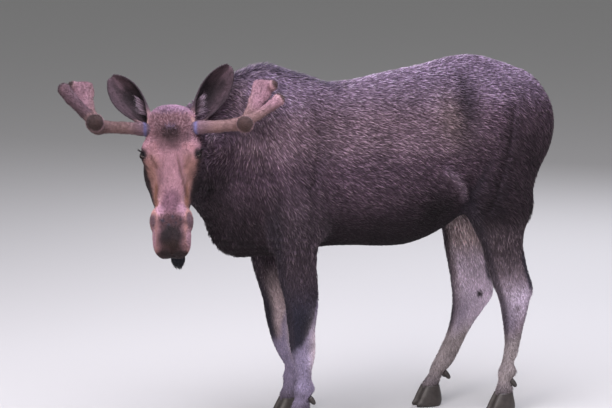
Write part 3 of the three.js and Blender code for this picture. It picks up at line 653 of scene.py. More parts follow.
def quad_normals(points, quads):
    """Area-weighted vertex normals of a quad mesh, and the quads' areas."""
    a, b, c, d = (points[quads[:, i]] for i in range(4))
    cross = np.cross(c - a, d - b) / 2
    normals = np.stack([np.bincount(quads.ravel(), np.repeat(cross[:, i], 4), len(points))
                        for i in range(3)], 1)
    return unit(normals), np.linalg.norm(cross, axis=1)


# ---------------------------------------------------------------- meshes


def make_piece(name, points, corners, sizes, colours=None, uv=None, material=None):
    """Blender mesh from whole arrays: points in mm, all faces' corners in one list, the number of
    corners of each face, and, where given, a colour per point and a place on OFBake per corner."""
    mesh = bpy.data.meshes.new(name)
    mesh.vertices.add(len(points))
    mesh.vertices.foreach_set("co", to_frame(points).astype(np.float32).ravel())
    mesh.loops.add(len(corners))
    mesh.loops.foreach_set("vertex_index", corners.astype(np.int32))
    mesh.polygons.add(len(sizes))
    starts = np.concatenate([[0], np.cumsum(sizes)[:-1]]).astype(np.int32)
    mesh.polygons.foreach_set("loop_start", starts)
    mesh.update(calc_edges=True)
    mesh.shade_smooth()
    if colours is not None:
        layer = mesh.color_attributes.new("coat_colour", "FLOAT_COLOR", "POINT")
        values = np.ones((len(points), 4), np.float32)
        values[:, :3] = colours
        layer.data.foreach_set("color", values.ravel())
    if uv is not None:
        layer = mesh.uv_layers.new(name="OFBake")
        layer.uv.foreach_set("vector", uv.astype(np.float32).ravel())
    piece = bpy.data.objects.new(name, mesh)
    bpy.context.scene.collection.objects.link(piece)
    mesh.materials.append(material)
    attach(piece, "root")
    return piece


def grid_faces(rows, columns):
    """Corner indices of the quads between rows of columns points, each row closed in a ring."""
    i, j = np.meshgrid(np.arange(rows - 1), np.arange(columns), indexing="ij")
    k = (j + 1) % columns
    return np.stack([i * columns + j, i * columns + k, (i + 1) * columns + k, (i + 1) * columns + j],
                    -1).reshape(-1, 4)


def capped_rings(rings, columns, turned_over=False):
    """Corners and face sizes of rings joined by quads, with a fan of triangles from the first
    ring to the last point but one, and from the last ring to the last point."""
    quads = grid_faces(rings, columns)
    first, base = rings * columns, (rings - 1) * columns
    j = np.arange(columns)
    k = (j + 1) % columns
    caps = np.concatenate([np.stack([np.full(columns, first), k, j], 1),
                           np.stack([np.full(columns, first + 1), base + j, base + k], 1)])
    if turned_over:
        quads, caps = quads[:, ::-1], caps[:, ::-1]
    sizes = np.concatenate([np.full(len(quads), 4), np.full(len(caps), 3)])
    return np.concatenate([quads.ravel(), caps.ravel()]), sizes


# ---------------------------------------------------------------- folds of the hide

# The fold in front of the thigh and the crease behind it, which are painted too: a painted
# highlight along the fold and painted shade in the crease.
FLANK_RIDGE = [(600, -312, 1245), (655, -299, 1205), (700, -278, 1150), (728, -240, 1090)]
FLANK_CREASE = [(775, -215, 1078), (760, -255, 1145), (735, -285, 1200)]

# Folds on the left side, mirrored to the right: path, half width and height in mm.
FOLDS = [
    ([(-17, -181, 1526), (-19, -250, 1377), (-50, -274, 1310), (-81, -288, 1218)], 34, -8),
    ([(-81, -288, 1218), (-60, -274, 1071), (-54, -236, 930)], 20, -11),
    ([(-99, -168, 1586), (-200, -225, 1400), (-230, -240, 1250)], 42, 7),
    ([(-326, -228, 1343), (-271, -257, 1234), (-250, -262, 1150)], 30, -6),
    ([(763, -140, 1663), (741, -202, 1574), (698, -274, 1415)], 48, -10),
    ([(850, -240, 1580), (835, -272, 1420)], 52, 8),
    ([(972, -265, 1521), (961, -280, 1377), (922, -273, 1232), (888, -271, 1111),
      (857, -259, 1038)], 25, -12),
    (FLANK_RIDGE, 24, 15),
    (FLANK_CREASE, 18, -15),
]
NECK_FOLD = [(-560, -135, 1235), (-545, -155, 1195), (-562, -138, 1150)]


def folds(p):
    """Height in mm of the creases and ridges alone."""
    mirrored = np.stack([p[:, 0], -np.abs(p[:, 1]), p[:, 2]], 1)
    height = -16 * np.exp(-(path_distance(p, NECK_FOLD) / 18) ** 2)
    for path, wide, high in FOLDS:
        height += high * np.exp(-(path_distance(mirrored, path) / wide) ** 2)
    return height


# ---------------------------------------------------------------- colours


def linear(code):
    """sRGB hex to linear red, green and blue."""
    value = np.array([int(code[i:i + 2], 16) for i in (1, 3, 5)]) / 255
    return np.where(value <= 0.04045, value / 12.92, ((value + 0.055) / 1.055) ** 2.4)


def paint(base, colour, amount):
    """base with that colour laid over it, by an amount from 0 to 1 at each point."""
    return base + (linear(colour) - base) * np.clip(amount, 0, 1)[:, None]


# Marks on the front of the head: l, w, their half sizes, colour and strength. Those off the
# middle line are on both sides.
HEAD_MARKS = [
    (-100, 0, 104, 120, "#866268", 0.9),        # forehead
    (-190, 0, 34, 100, "#997891", 0.8),         # crown
    (-40, 0, 58, 80, "#5d4347", 0.8),           # dark forehead
    (-60, 0, 40, 42, "#3c2a2c", 0.8),           # its curl
    (-96, 4, 11, 18, "#84708c", 0.6),           # pale hair in the curl, with a painted highlight on it
    (-128, 110, 26, 14, "#bd958c", 0.85),       # below the ears
    (-4, 84, 26, 34, "#a2757a", 0.8),           # brows
    (258, 0, 68, 46, "#6f4d5b", 0.9),           # nose bridge
    (262, 60, 58, 12, "#cfa0a8", 0.8),          # its pale edge
    (225, 70, 66, 10, "#94654a", 0.75),         # brown beside it
    (296, 50, 30, 22, "#a98091", 0.75),         # pale over the nostrils
    (356, 0, 46, 70, "#402a2d", 0.95),          # band between the nostrils
    (350, 86, 40, 16, "#4f3f4d", 0.8),          # nostril wings
    (430, 0, 66, 68, "#120a0a", 0.97),          # dark muzzle
    (436, 82, 56, 14, "#a5808c", 0.85),         # painted sheen on the sides of the lips
    (486, 0, 40, 56, "#33241f", 0.8),           # dark middle of the lip
    (512, 44, 26, 62, "#211819", 0.9),          # lower lip
]
FURROWS = [                                     # l and w along each, half width, strength of painted shade by side
    ([(42, 30), (100, 42), (160, 55), (222, 70)], 6, {"right": 0.3, "left": 0.75}),
    ([(38, 94), (60, 80), (88, 64)], 9, {"right": 0.75, "left": 0.45}),
]
NOSE_SPOTS = [(351, -39, 9), (332, 8, 7), (362, 20, 6), (345, 46, 6), (370, -12, 7)]


def head_colours(p):
    """Red-brown face, darker cheeks and throat, and the marks."""
    q = to_head(p)
    l, w, n = q.T
    wobble = 9 * noise(p, 30, 21)
    front = ease(n, -140, -95)
    colour = np.tile(linear("#a87d86"), (len(p), 1))
    colour = paint(colour, "#b0837c", ease(np.abs(w) + wobble, 40, 82) * ease(l, -10, 90))
    for at_l, at_w, half_l, half_w, code, strength in HEAD_MARKS:
        r = np.hypot((l + wobble - at_l) / half_l, (np.abs(w) + 0.6 * wobble - at_w) / half_w)
        colour = paint(colour, code, strength * front * (1 - ease(r, 0.55, 1.35)))
    # painted shade in the furrows beside the bridge and before the eyes, stronger on one side
    for path, half_width, strengths in FURROWS:
        near = np.exp(-(path_distance(np.stack([l, np.abs(w)], 1), path) / half_width) ** 2)
        strength = np.where(w > 0, strengths["left"], strengths["right"])
        colour = paint(colour, "#6d4b47", strength * front * near)
    for at_l, at_w, size in NOSE_SPOTS:
        r = np.hypot(l - at_l, w - at_w) / size
        colour = paint(colour, "#33333f", 0.85 * front * (1 - ease(r, 0.6, 1.1)))
    edge = curve((-60, 128), (30, 122), (80, 104), (150, 90), (240, 80), (300, 98))(l)
    side = ease(np.abs(w) + wobble, edge, edge + 16) * (1 - ease(l, 270, 310)) * ease(l, -80, -40)
    colour = paint(colour, "#2f2427", 0.9 * side)
    colour = paint(colour, "#261c1f", 0.9 * ease(-n, 85, 140) * (1 - ease(l, 300, 340)))
    colour = paint(colour, "#57454a", 0.85 * ease(-n, 120, 165) * ease(l, 280, 330))
    strands = noise(np.stack([l / 5, w, n], 1), 6, 27) * 0.6
    strands = strands + noise(np.stack([l / 3, w, n], 1), 13, 28) * 0.6
    colour = colour * (1 + 0.22 * strands)[:, None]
    eye = np.stack([l, np.abs(w), n], 1) - EYE_PLACE
    near = np.hypot(np.linalg.norm(eye[:, :2], axis=1), 0.8 * eye[:, 2])
    colour = paint(colour, "#2a1e20", 0.85 * (1 - ease(near, 24, 38)))
    return paint(colour, "#120d10", 1 - ease(near, 20, 27))


def ear_colours(p):
    """Brown outside with a thin dark edge; inside, painted shade that is near black towards the canal."""
    colour = np.tile(linear("#4d3d45"), (len(p), 1))
    for ear in EARS.values():
        t, angle, rho = ear_place(ear, p)
        at = np.clip(t, 0, EAR_LENGTH)
        near = (rho < 100) & (t > -40) & (t < 330)
        inner = near * ease(ear_radius(at) - rho, -1, 2)
        inward = angle * (1 if ear is EARS["right"] else -1)
        deep = (1 - ease(t + 24 * noise(p, 28, 5), 150, 265)) * mix(0.5, 1.0, ease(inward, -0.9, 0.2))
        fine = np.stack([t / 5, angle * 42, 0 * t], 1)
        inside = linear("#57444b") * np.exp(0.5 * noise(fine, 6, 31) + 0.35 * noise(fine, 15, 32))[:, None]
        colour = mix(colour, inside, inner[:, None])
        # painted shade deep in the cup, darkest towards the canal and on the inner side of its roll
        colour = paint(colour, "#181114", 0.92 * inner * deep)
        edge = near * ease(np.abs(angle) - ear_roll(at), -0.22, -0.04)
        colour = paint(colour, "#33272c", 0.8 * edge)
        colour = paint(colour, "#a07c7e", 0.8 * near * (1 - inner) * (1 - ease(t, 0, 60)))
    return colour


def leg_colours(p, colour):
    """Each leg goes from the body's dark brown to pale grey, sooner inside than outside, and
    keeps a dark strip down its front."""
    x, y, z = p.T
    wobble = 26 * noise(p, 70, 22)
    for name, leg in LEGS.items():
        near = 1 - ease(leg_field(leg, p), 15, 45)
        at = np.clip(z, COAT_LINE, leg["top"])
        front, back = leg["front"](at), leg["back"](at)
        across = np.clip((x - front) / (back - front), 0, 1)
        inner = ease((leg["centre"](at) - y * leg["side"]) / leg["thick"](at), -0.1, 0.5)
        if name.startswith("fore"):
            low = near * (1 - ease(z + wobble, 372 + 250 * across ** 2, 424 + 300 * across ** 2))
            colour = paint(colour, "#53454f", near * (1 - ease(z, 1000, 1120)))
            colour = paint(colour, "#292734", near * (1 - ease(z, 560, 820)))
            within = near * inner * (1 - ease(z, 600, 810)) * ease(across, 0.05, 0.42)
            colour = paint(colour, "#c0abaf", within)
            colour = paint(colour, "#9a8ea8", low)
            rear = hill(np.stack([at, across], 1), (410, 0.95), (125, 0.26))
            colour = paint(colour, "#f0dde4", 0.95 * near * rear)
        else:
            colour = paint(colour, "#5e5057", near * (1 - ease(z + wobble, 880, 1040)))
            colour = paint(colour, "#8b7a83", near * (1 - ease(z + wobble, 620, 860)))
            within = near * inner * (1 - ease(z, 900, 1030)) * ease(across, 0.02, 0.2)
            colour = paint(colour, "#c9b1b3", within)
            colour = paint(colour, "#e6d3e6", within * (1 - ease(z + wobble, 700, 860)))
            hock = hill(np.stack([at, across], 1), (565, 0.6), (85, 0.6))
            colour = paint(colour, "#ecd9ee", 0.9 * near * hock)
            colour = paint(colour, "#a39797", near * (1 - ease(z + wobble, 330, 460)))
            shin = hill(np.stack([at, across], 1), (465, 0.2), (75, 0.32))
            colour = paint(colour, "#665f70", 0.6 * near * shin)
            strip = near * ease(across, 0.78, 0.9) * ease(z, 600, 640) * (1 - ease(z, 780, 860))
            colour = paint(colour, "#34323f", 0.9 * strip)
        shin = (1 - ease(across, 0.06, 0.2)) * ease(z, 330, 440) * (1 - 0.6 * inner)
        colour = paint(colour, "#37303a", 0.75 * near * shin)
        colour = paint(colour, "#5a5056", 0.6 * near * (1 - ease(z, 110, 190)))
    blotches = 0.2 * noise(p, 60, 27) + 0.1 * noise(p, 22, 28)
    colour = colour * np.clip(1 + blotches * (1 - ease(z, 520, 760)), 0.4, 1.4)[:, None]
    gland = np.linalg.norm(p - (983, 112, 555), axis=1)
    colour = paint(colour, "#140f12", 0.95 * (1 - ease(gland, 13, 26)))
    return paint(colour, "#5b4f52", 0.8 * hill(p, (1036, -205, 533), (16, 40, 16)))


def body_colours(p):
    """Purplish brown: greyer and paler along the back and hump, where light from above is painted in;
    near black low on the flanks and under the belly, their own dark colour deepened by painted shade,
    on the thigh's front and at the brisket. Creases are painted darker and ridges paler, as shade and light."""
    x, y, z = p.T
    s, _ = along_spine(p)
    colour = np.tile(linear("#5f4a59"), (len(p), 1))
    # paler upwards over the upper flank, back and hump: painted light from the sky above
    colour = paint(colour, "#7e6673", ease(z, 1270, 1410) * ease(s, -520, -330) * (1 - ease(s, 620, 900)))
    colour = paint(colour, "#8e7993", ease(z, 1480, 1720) * ease(s, -450, -250))
    # darker low on the flanks and under the belly: the coat's own dark colour, deepened by painted shade
    # underneath
    colour = paint(colour, "#241b21", 0.95 * (1 - ease(z + 50 * noise(p, 200, 23), 930, 1260)))
    colour = paint(colour, "#191316", 0.8 * (1 - ease(z, 860, 960)))
    colour = paint(colour, "#34282f", 0.8 * ease(x, 830, 960) * (1 - ease(z, 1300, 1600)))
    front = hill(np.stack([x, z], 1), (850, 1130), (95, 170))
    colour = paint(colour, "#161014", 0.6 * front)
    colour = paint(colour, "#281e25", 0.85 * (1 - ease(s, -560, -430)) * (1 - ease(z, 1250, 1420)))
    colour = paint(colour, "#35292f", 0.5 * (1 - ease(z, 1100, 1250)) * (1 - ease(x, -150, 60)))
    crest = ease(z, back_line(s) - 60, back_line(s) - 20) * ease(s, -560, -440) * (1 - ease(s, 60, 220))
    colour = paint(colour, "#463e50", 0.75 * crest)
    beside = np.stack([x, z], 1)
    colour = paint(colour, "#8b7674", 0.6 * hill(beside, (655, 1490), (75, 110)))
    # painted shade in the valley in front of the hip
    colour = paint(colour, "#3b2f3c", 0.6 * hill(beside, (760, 1540), (55, 130)))
    colour = paint(colour, "#6d5a68", 0.8 * hill(beside, (-150, 1090), (110, 150)) * ease(np.abs(y), 0, 120))
    # the lower flank's own dark colour, deepened by painted shade beneath the fold in front of the thigh
    colour = paint(colour, "#140e10", 0.9 * hill(beside, (560, 1060), (140, 110)))
    mirrored = np.stack([x, -np.abs(y), z], 1)
    # painted highlight along the fold in front of the thigh, painted shade in the crease behind it
    colour = paint(colour, "#6f5d6b", 0.8 * np.exp(-(path_distance(mirrored, FLANK_RIDGE) / 20) ** 2))
    colour = paint(colour, "#120c0e", 0.8 * np.exp(-(path_distance(mirrored, FLANK_CREASE) / 15) ** 2))
    # creases, the neck fold among them, painted darker and ridges paler by their height: painted shade and
    # light
    return colour * np.clip(1 + 0.05 * folds(p), 0.3, 1.3)[:, None]


def markings(p, is_head, is_ear, is_bell):
    """Colour of the coat at each point, in linear light. Skin and tufts both take it."""
    colour = leg_colours(p, body_colours(p))
    colour = mix(colour, head_colours(p), is_head[:, None])
    colour = paint(colour, "#22222c", is_bell * (1 - ease(p[:, 2], 1000, 1150)))
    colour = mix(colour, ear_colours(p), is_ear[:, None])
    mottle = 1 + 0.16 * noise(p, 90, 1) + 0.12 * noise(p, 26, 2)
    return np.clip(colour * mottle[:, None], 0.002, 1)


# ---------------------------------------------------------------- materials


def add_node(material, kind, inputs=(), **settings):
    """Adds a node with its settings, and sets or links its inputs, given as (socket, value)."""
    node = material.node_tree.nodes.new(kind)
    for key, value in settings.items():
        setattr(node, key, value)
    for socket, value in inputs:
        if isinstance(value, bpy.types.NodeSocket):
            material.node_tree.links.new(value, node.inputs[socket])
        else:
            node.inputs[socket].default_value = value
    return node


def new_material(name):
    """An empty material with its shader, which is returned with it."""
    material = bpy.data.materials.new(name)
    material.use_nodes = True
    return material, material.node_tree.nodes["Principled BSDF"]


def rgba(code):
    """sRGB hex to the four numbers of a colour socket."""
    return (*linear(code), 1.0)


def hair_material(name, grain_mm, roughness, sheen, depth_mm):
    """Hair: keratin, dull along its length with a soft gleam. Its colour is the coat_colour
    attribute, with a fine grain of single hairs in colour and height."""
    material, shader = new_material(name)
    place = add_node(material, "ShaderNodeTexCoord").outputs["Object"]
    colour = add_node(material, "ShaderNodeAttribute", attribute_name="coat_colour").outputs["Color"]
    grain = add_node(material, "ShaderNodeTexNoise",
                     [("Vector", place), ("Scale", 1000 / grain_mm), ("Detail", 3.0), ("Roughness", 0.6)])
    shade = add_node(material, "ShaderNodeMapRange",
                     [("Value", grain.outputs["Fac"]), ("From Min", 0.25), ("From Max", 0.75),
                      ("To Min", 0.72), ("To Max", 1.28)])
    shaded = add_node(material, "ShaderNodeVectorMath", [(0, colour), (1, shade.outputs["Result"])],
                      operation="MULTIPLY")
    bump = add_node(material, "ShaderNodeBump",
                    [("Height", grain.outputs["Fac"]), ("Strength", 0.5), ("Distance", depth_mm * MM)])
    links = material.node_tree.links
    links.new(shaded.outputs["Vector"], shader.inputs["Base Color"])
    links.new(bump.outputs["Normal"], shader.inputs["Normal"])
    shader.inputs["Roughness"].default_value = roughness
    shader.inputs["IOR"].default_value = 1.5
    shader.inputs["Specular IOR Level"].default_value = 0.25
    shader.inputs["Sheen Weight"].default_value = sheen
    shader.inputs["Sheen Roughness"].default_value = 0.5
    shader.inputs["Sheen Tint"].default_value = rgba("#c9b6c6")
    return material


# dull close hair, seen between the tufts
HIDE = hair_material("short hair on hide", 5.0, 0.8, 0.03, 1.2)
# the tufts: a soft gleam along the back
HAIR = hair_material("guard hair", 3.0, 0.6, 0.03, 0.4)
# dull fuzz whose edge catches the light
VELVET = hair_material("antler velvet", 4.0, 0.85, 0.15, 0.8)


def wet_material(name):
    """Living eye: dark and wet. A clear film gives the sharp glint."""
    material, shader = new_material(name)
    colour = add_node(material, "ShaderNodeAttribute", attribute_name="coat_colour").outputs["Color"]
    material.node_tree.links.new(colour, shader.inputs["Base Color"])
    shader.inputs["Roughness"].default_value = 0.12
    shader.inputs["IOR"].default_value = 1.38
    shader.inputs["Coat Weight"].default_value = 1.0
    shader.inputs["Coat Roughness"].default_value = 0.03
    return material


def horn_material(name):
    """Hoof horn: dark keratin, worn half smooth, with growth rings round it every 6 mm."""
    material, shader = new_material(name)
    place = add_node(material, "ShaderNodeTexCoord").outputs["Object"]
    rings = add_node(material, "ShaderNodeTexWave",
                     [("Vector", place), ("Scale", 1 / (0.006 * 20)), ("Distortion", 2.0),
                      ("Detail", 2.0), ("Detail Scale", 2.0)],
                     wave_type="BANDS", bands_direction="Z")
    stain = add_node(material, "ShaderNodeTexNoise",
                     [("Vector", place), ("Scale", 60.0), ("Detail", 4.0)])
    ramp = add_node(material, "ShaderNodeMix",
                    [("Factor", stain.outputs["Fac"]), (6, rgba("#1f1b1b")), (7, rgba("#4a423d"))],
                    data_type="RGBA")
    bump = add_node(material, "ShaderNodeBump",
                    [("Height", rings.outputs["Fac"]), ("Strength", 0.35), ("Distance", 0.0008)])
    links = material.node_tree.links
    links.new(ramp.outputs[2], shader.inputs["Base Color"])
    links.new(bump.outputs["Normal"], shader.inputs["Normal"])
    shader.inputs["Roughness"].default_value = 0.42
    shader.inputs["IOR"].default_value = 1.54
    return material


EYE = wet_material("wet eye")
HORN = horn_material("hoof horn")


# ---------------------------------------------------------------- the skin


def relief(p):
    """Height in mm of the folds, the wrinkles over the forearm and brisket, and the unevenness
    of the muscles."""
    x, _, z = p.T
    s, _ = along_spine(p)
    height = folds(p)
    forearm = ease(z, 850, 880) * (1 - ease(z, 960, 1000)) * (1 - ease(x, -60, 0)) * ease(-x, -60, 240)
    height += 2.2 * forearm * np.sin(2 * np.pi * (z + 8 * noise(p, 60, 24)) / 34)
    brisket = (1 - ease(s, -400, -340)) * ease(s, -600, -560) * (1 - ease(z, 1010, 1090))
    height += 4 * brisket * np.sin(2 * np.pi * (s + 14 * noise(p, 90, 25)) / 48)
    return height + 3.0 * noise(p, 150, 7) * ease(z, 500, 900)


SKIN_KEPT = 0.52                                # share of the skin's faces that is kept
SKIN_SHADE = 0.75                               # the skin lies in the shade of its coat


def skin_mesh():
    """The one skin: surface net of skin_field, finer on the head, evened out and creased."""
    cell = 14.0
    box = np.stack(np.meshgrid(np.linspace(-1290, 1310, 9), np.linspace(-470, 345, 9),
                               np.linspace(80, 1850, 9), indexing="ij"), -1).reshape(-1, 3)
    spread = stretched(box)
    points, quads = surface_net(skin_field, spread.min(0), spread.max(0), cell, zoomed)
    points = settle(skin_field, points, quads, 3)
    normal, _ = quad_normals(points, quads)
    is_head, is_ear, is_bell = shares(points)
    away = (1 - is_head) * (1 - is_ear) * (1 - is_bell)
    return points + normal * (relief(points) * away)[:, None], quads


skin_points, skin_quads = skin_mesh()
skin_normals, skin_areas = quad_normals(skin_points, skin_quads)
skin_colours = markings(skin_points, *shares(skin_points))
skin = make_piece("skin", skin_points, skin_quads.ravel(), np.full(len(skin_quads), 4),
                  skin_colours * SKIN_SHADE, material=HIDE)
thinned = skin.modifiers.new("thinned", "DECIMATE")    # fewer faces where the skin is nearly flat
thinned.ratio = SKIN_KEPT
FLESH_NODES = ["trunk", "neck", "head", "ear_right", "ear_left", "tail", "bell"]
FLESH_NODES += [f"{leg}_{half}" for leg in LEGS for half in ("upper", "lower")]
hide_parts(*FLESH_NODES)


# ---------------------------------------------------------------- eyes


def add_eye(side):
    """Eyeball: rings round the pupil's axis at angle a from it, of radius EYE_RADIUS with a
    cornea that stands 1.6 mm proud near the axis. Level slit pupil, dark brown iris."""
    rows, columns = 40, 64
    a = np.linspace(0, np.pi, rows)[1:-1, None]
    b = np.linspace(0, 2 * np.pi, columns, endpoint=False)[None]
    mirror = np.array([1, side, 1])
    axes = [EYE_AXIS * mirror, EYE_LONG * mirror, EYE_TALL * mirror]
    reach = EYE_RADIUS - 0.2 + 1.6 * (1 - ease(a, 0.25, 0.62)) + 0 * b
    ring = (np.cos(a)[..., None] * axes[0] + (np.sin(a) * np.cos(b))[..., None] * axes[1]
            + (np.sin(a) * np.sin(b))[..., None] * axes[2]) * reach[..., None]
    poles = np.array([axes[0] * (EYE_RADIUS + 1.4), -axes[0] * (EYE_RADIUS - 0.2)])
    points = from_head(EYE_PLACE * mirror + np.concatenate([ring.reshape(-1, 3), poles]))
    corners, sizes = capped_rings(rows - 2, columns, side > 0)
    local = (points - from_head(EYE_PLACE * mirror)) @ HEAD_AXES
    out, along, tall = (local @ axis / EYE_RADIUS for axis in axes)
    turn = np.arccos(np.clip(out, -1, 1))
    colour = np.tile(linear("#5a463f"), (len(points), 1))
    colour = paint(colour, "#20120b", 1 - ease(turn, 0.66, 0.74))
    rays = 0.5 + 0.5 * np.sin(9 * np.arctan2(tall, along))
    colour = paint(colour, "#3a2415", (1 - ease(turn, 0.5, 0.62)) * rays)
    pupil = np.hypot(along / 0.42, tall / 0.2)
    colour = paint(colour, "#030304", (1 - ease(pupil, 0.85, 1.05)) * (out > 0))
    name = "eye_ball_left" if side > 0 else "eye_ball_right"
    eye = make_piece(name, points, corners, sizes, colour, material=EYE)
    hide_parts("eye_left" if side > 0 else "eye_right")


add_eye(1)
add_eye(-1)


# ---------------------------------------------------------------- antlers

# Limbs as chains of sections in head coordinates: l, w, n, half width, half thickness.
ANTLERS = {
    "right": dict(
        beam=[(-88, -80, -54, 34, 34), (-100, -140, -50, 32, 32), (-106, -225, -48, 29, 29),
              (-113, -300, -58, 30, 30), (-114, -335, -62, 33, 33)],
        brow=[(-114, -335, -62, 31, 31), (-108, -342, -14, 36, 36), (-114, -346, 30, 45, 45)],
        lobe=[(-114, -335, -62, 27, 27), (-190, -402, -84, 27, 27), (-262, -466, -108, 29, 29),
              (-312, -500, -124, 32, 32)],
        palm=[(-114, -335, -62, 26, 22), (-170, -368, -96, 30, 17), (-240, -400, -134, 43, 15),
              (-300, -412, -166, 54, 16), (-350, -418, -182, 58, 17)],
        cut=366, knob=(-338, -462, -172, 25)),
    "left": dict(
        beam=[(-92, 84, -54, 34, 34), (-102, 140, -50, 32, 32), (-104, 225, -48, 29, 29),
              (-113, 305, -58, 30, 30), (-116, 338, -62, 33, 33)],
        brow=[(-116, 338, -62, 31, 31), (-110, 343, -14, 34, 34), (-95, 348, 28, 42, 42)],
        lobe=[(-116, 338, -62, 25, 25), (-160, 405, -82, 24, 24), (-210, 470, -108, 26, 26),
              (-243, 506, -124, 31, 31)],
        palm=[(-116, 338, -62, 24, 21), (-170, 366, -96, 27, 17), (-240, 398, -134, 38, 15),
              (-296, 426, -166, 52, 16), (-350, 440, -182, 58, 17)],
        cut=357, knob=(-322, 478, -166, 27)),
}
ANTLER_LIMBS = ("beam", "brow", "lobe", "palm")
PALM_FACE = unit(np.array([0.25, 0.1, 1.0]))    # the flat of the palm faces this way
ANTLER_NAP = 3.0                                # the velvet's own hair stands this far out


def limb_field(q, chain):
    """Distance from a chain of flattened round cones: each point is measured against the nearest
    place of every straight piece, with the palm's normal stretched by width over thickness."""
    best = np.full(q.shape[:-1], 1e9)
    for first, second in zip(np.array(chain[:-1], float), np.array(chain[1:], float)):
        way = second[:3] - first[:3]
        t = np.clip((q - first[:3]) @ way / (way @ way), 0, 1)
        off = q - first[:3] - t[..., None] * way
        wide, thin = mix(first[3], second[3], t), mix(first[4], second[4], t)
        normal = unit(np.cross(np.cross(way, PALM_FACE), way))
        up = off @ normal
        flat = np.sqrt(np.maximum((off * off).sum(-1) - up * up, 0))
        size = np.hypot(flat / wide, up / thin)
        best = blend(best, (size - 1) * thin, 9)
    return best


def antler_field(side, p):
    """The four limbs blended, with the palm's end cut nearly straight and a knob on its corner."""
    q = to_head(p)
    limbs = ANTLERS[side]
    kept = 0.97 * (q[..., 0] + limbs["cut"]) + 0.24 * (q[..., 2] + 172)
    palm = carve(limb_field(q, limbs["palm"]), kept, 14)
    *knob, knob_radius = limbs["knob"]
    palm = blend(palm, np.linalg.norm(q - np.array(knob, float), axis=-1) - knob_radius, 12)
    f = blend(palm, limb_field(q, limbs["lobe"]), 11)
    for limb in ("beam", "brow"):
        f = blend(f, limb_field(q, limbs[limb]), 16)
    return f + ANTLER_NAP


def antler_colours(side, p):
    """Brown velvet, pinker and paler on the palm and edges, dark on the blunt growing ends with a
    pale ring round them, blue-grey where it meets the skull. The right antler is painted darker, as
    shade, and the left paler, as light."""
    q = to_head(p)
    limbs = ANTLERS[side]
    aside = np.abs(q[:, 1])
    colour = np.tile(linear("#6a5250"), (len(p), 1))
    colour = paint(colour, "#795b63", ease(aside, 340, 400) * ease(-q[:, 0], 150, 230))
    colour = paint(colour, "#614b57", 0.7 * (1 - ease(aside, 120, 220)))
    ends = [limbs["brow"][-1], limbs["lobe"][-1], limbs["knob"] + (0,)]
    for end, (x, y, z) in zip(ends, ((0.1, 0, 1), (-0.6, 0.7, -0.2), (-0.3, 0.8, 0.1))):
        way = unit(np.array([x, y * np.sign(end[1]), z], float))
        ahead = (q - np.array(end[:3], float)) @ way / end[3]
        near = 1 - ease(np.linalg.norm(q - np.array(end[:3], float), axis=1) / end[3], 1.15, 1.5)
        ragged = ahead + 0.22 * noise(p, 20, 26)
        colour = paint(colour, "#9a7a7d", 0.6 * near * ease(ragged, -0.6, -0.1))
        colour = paint(colour, "#281b16", 0.92 * near * ease(ragged, -0.05, 0.5))
    lobe = 1 - ease(limb_field(q, limbs["lobe"][1:]), 2, 16)
    lobe *= ease(limb_field(q, limbs["palm"][2:]), 2, 14)
    colour = paint(colour, "#46343a", 0.8 * lobe * (side == "right"))
    colour = paint(colour, "#4b3a42", 0.8 * (1 - ease(aside, 108, 126)))
    colour = paint(colour, "#5a587f", 0.8 * np.exp(-((aside - 117) / 8) ** 2))
    mottle = 1 + 0.16 * noise(p, 30, 3) + 0.12 * noise(p, 10, 4)
    # the right antler painted darker, as shade, and the left paler, as light
    mottle *= 0.9 if side == "right" else 1.35
    return np.clip(colour * mottle[:, None], 0.002, 1)


antler_meshes = {}
for side, limbs in ANTLERS.items():
    spots = from_head([s[:3] for limb in ANTLER_LIMBS for s in limbs[limb]])
    points, quads = surface_net(lambda p: antler_field(side, p), spots.min(0) - 75, spots.max(0) + 75,
                                3.6, lambda q: q)
    points = settle(lambda p: antler_field(side, p), points, quads, 2)
    antler_meshes[side] = (points, quads)
    piece = make_piece(f"antler_{side}", points, quads.ravel(), np.full(len(quads), 4),
                       antler_colours(side, points), material=VELVET)
    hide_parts(*[f"antler_{side}_{limb}" for limb in ANTLER_LIMBS])


# ---------------------------------------------------------------- hooves and dewclaws

hoof_toe = curve((0, -84), (10, -86), (30, -75), (60, -61), (100, -40))
hoof_heel = curve((0, 42), (12, 47), (35, 50), (70, 46), (100, 40))
hoof_half = curve((0, 24), (12, 26), (30, 27), (70, 25.5), (100, 23))
hoof_apart = curve((0, 29), (50, 28), (100, 24))


def add_hoof(name, foot_x, foot_y, side):
    """One digit: egg-shaped rings, pointed at the toe, stacked from the sole to just inside the
    coat, with a flat sole and a rounded edge."""
    rows, columns = 26, 44
    z = np.linspace(0, 104, rows)[:, None]
    a = np.linspace(0, 2 * np.pi, columns, endpoint=False)[None]
    toe, heel = hoof_toe(z), hoof_heel(z)
    narrow = 1 - 0.28 * np.maximum(0, -np.cos(a)) ** 2
    inner = np.where(np.sin(a) * side < 0, 0.86, 1.0)
    worn = 1 - 0.05 * np.exp(-z / 4)
    x = foot_x + (toe + heel) / 2 + (heel - toe) / 2 * np.cos(a) * worn
    y = foot_y + side * hoof_apart(z) + hoof_half(z) * narrow * inner * np.sin(a) * worn
    points = np.stack([x, y, z + 0 * a], -1).reshape(-1, 3)
    middle = points.reshape(rows, columns, 3)[[0, -1]].mean(1)
    points = np.concatenate([points, middle])
    corners, sizes = capped_rings(rows, columns)
    piece = make_piece(name.replace("_hoof_", "_digit_"), points, corners, sizes, material=HORN)
    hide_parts(name)


DEWCLAW_HEIGHT, DEWCLAW_APART, DEWCLAW_SUNK = 168.0, 24.0, 14.0
DEWCLAW_DIP = np.radians(52)
claw_radius = curve((0, 17), (14, 18.5), (30, 16), (42, 11), (46, 6))


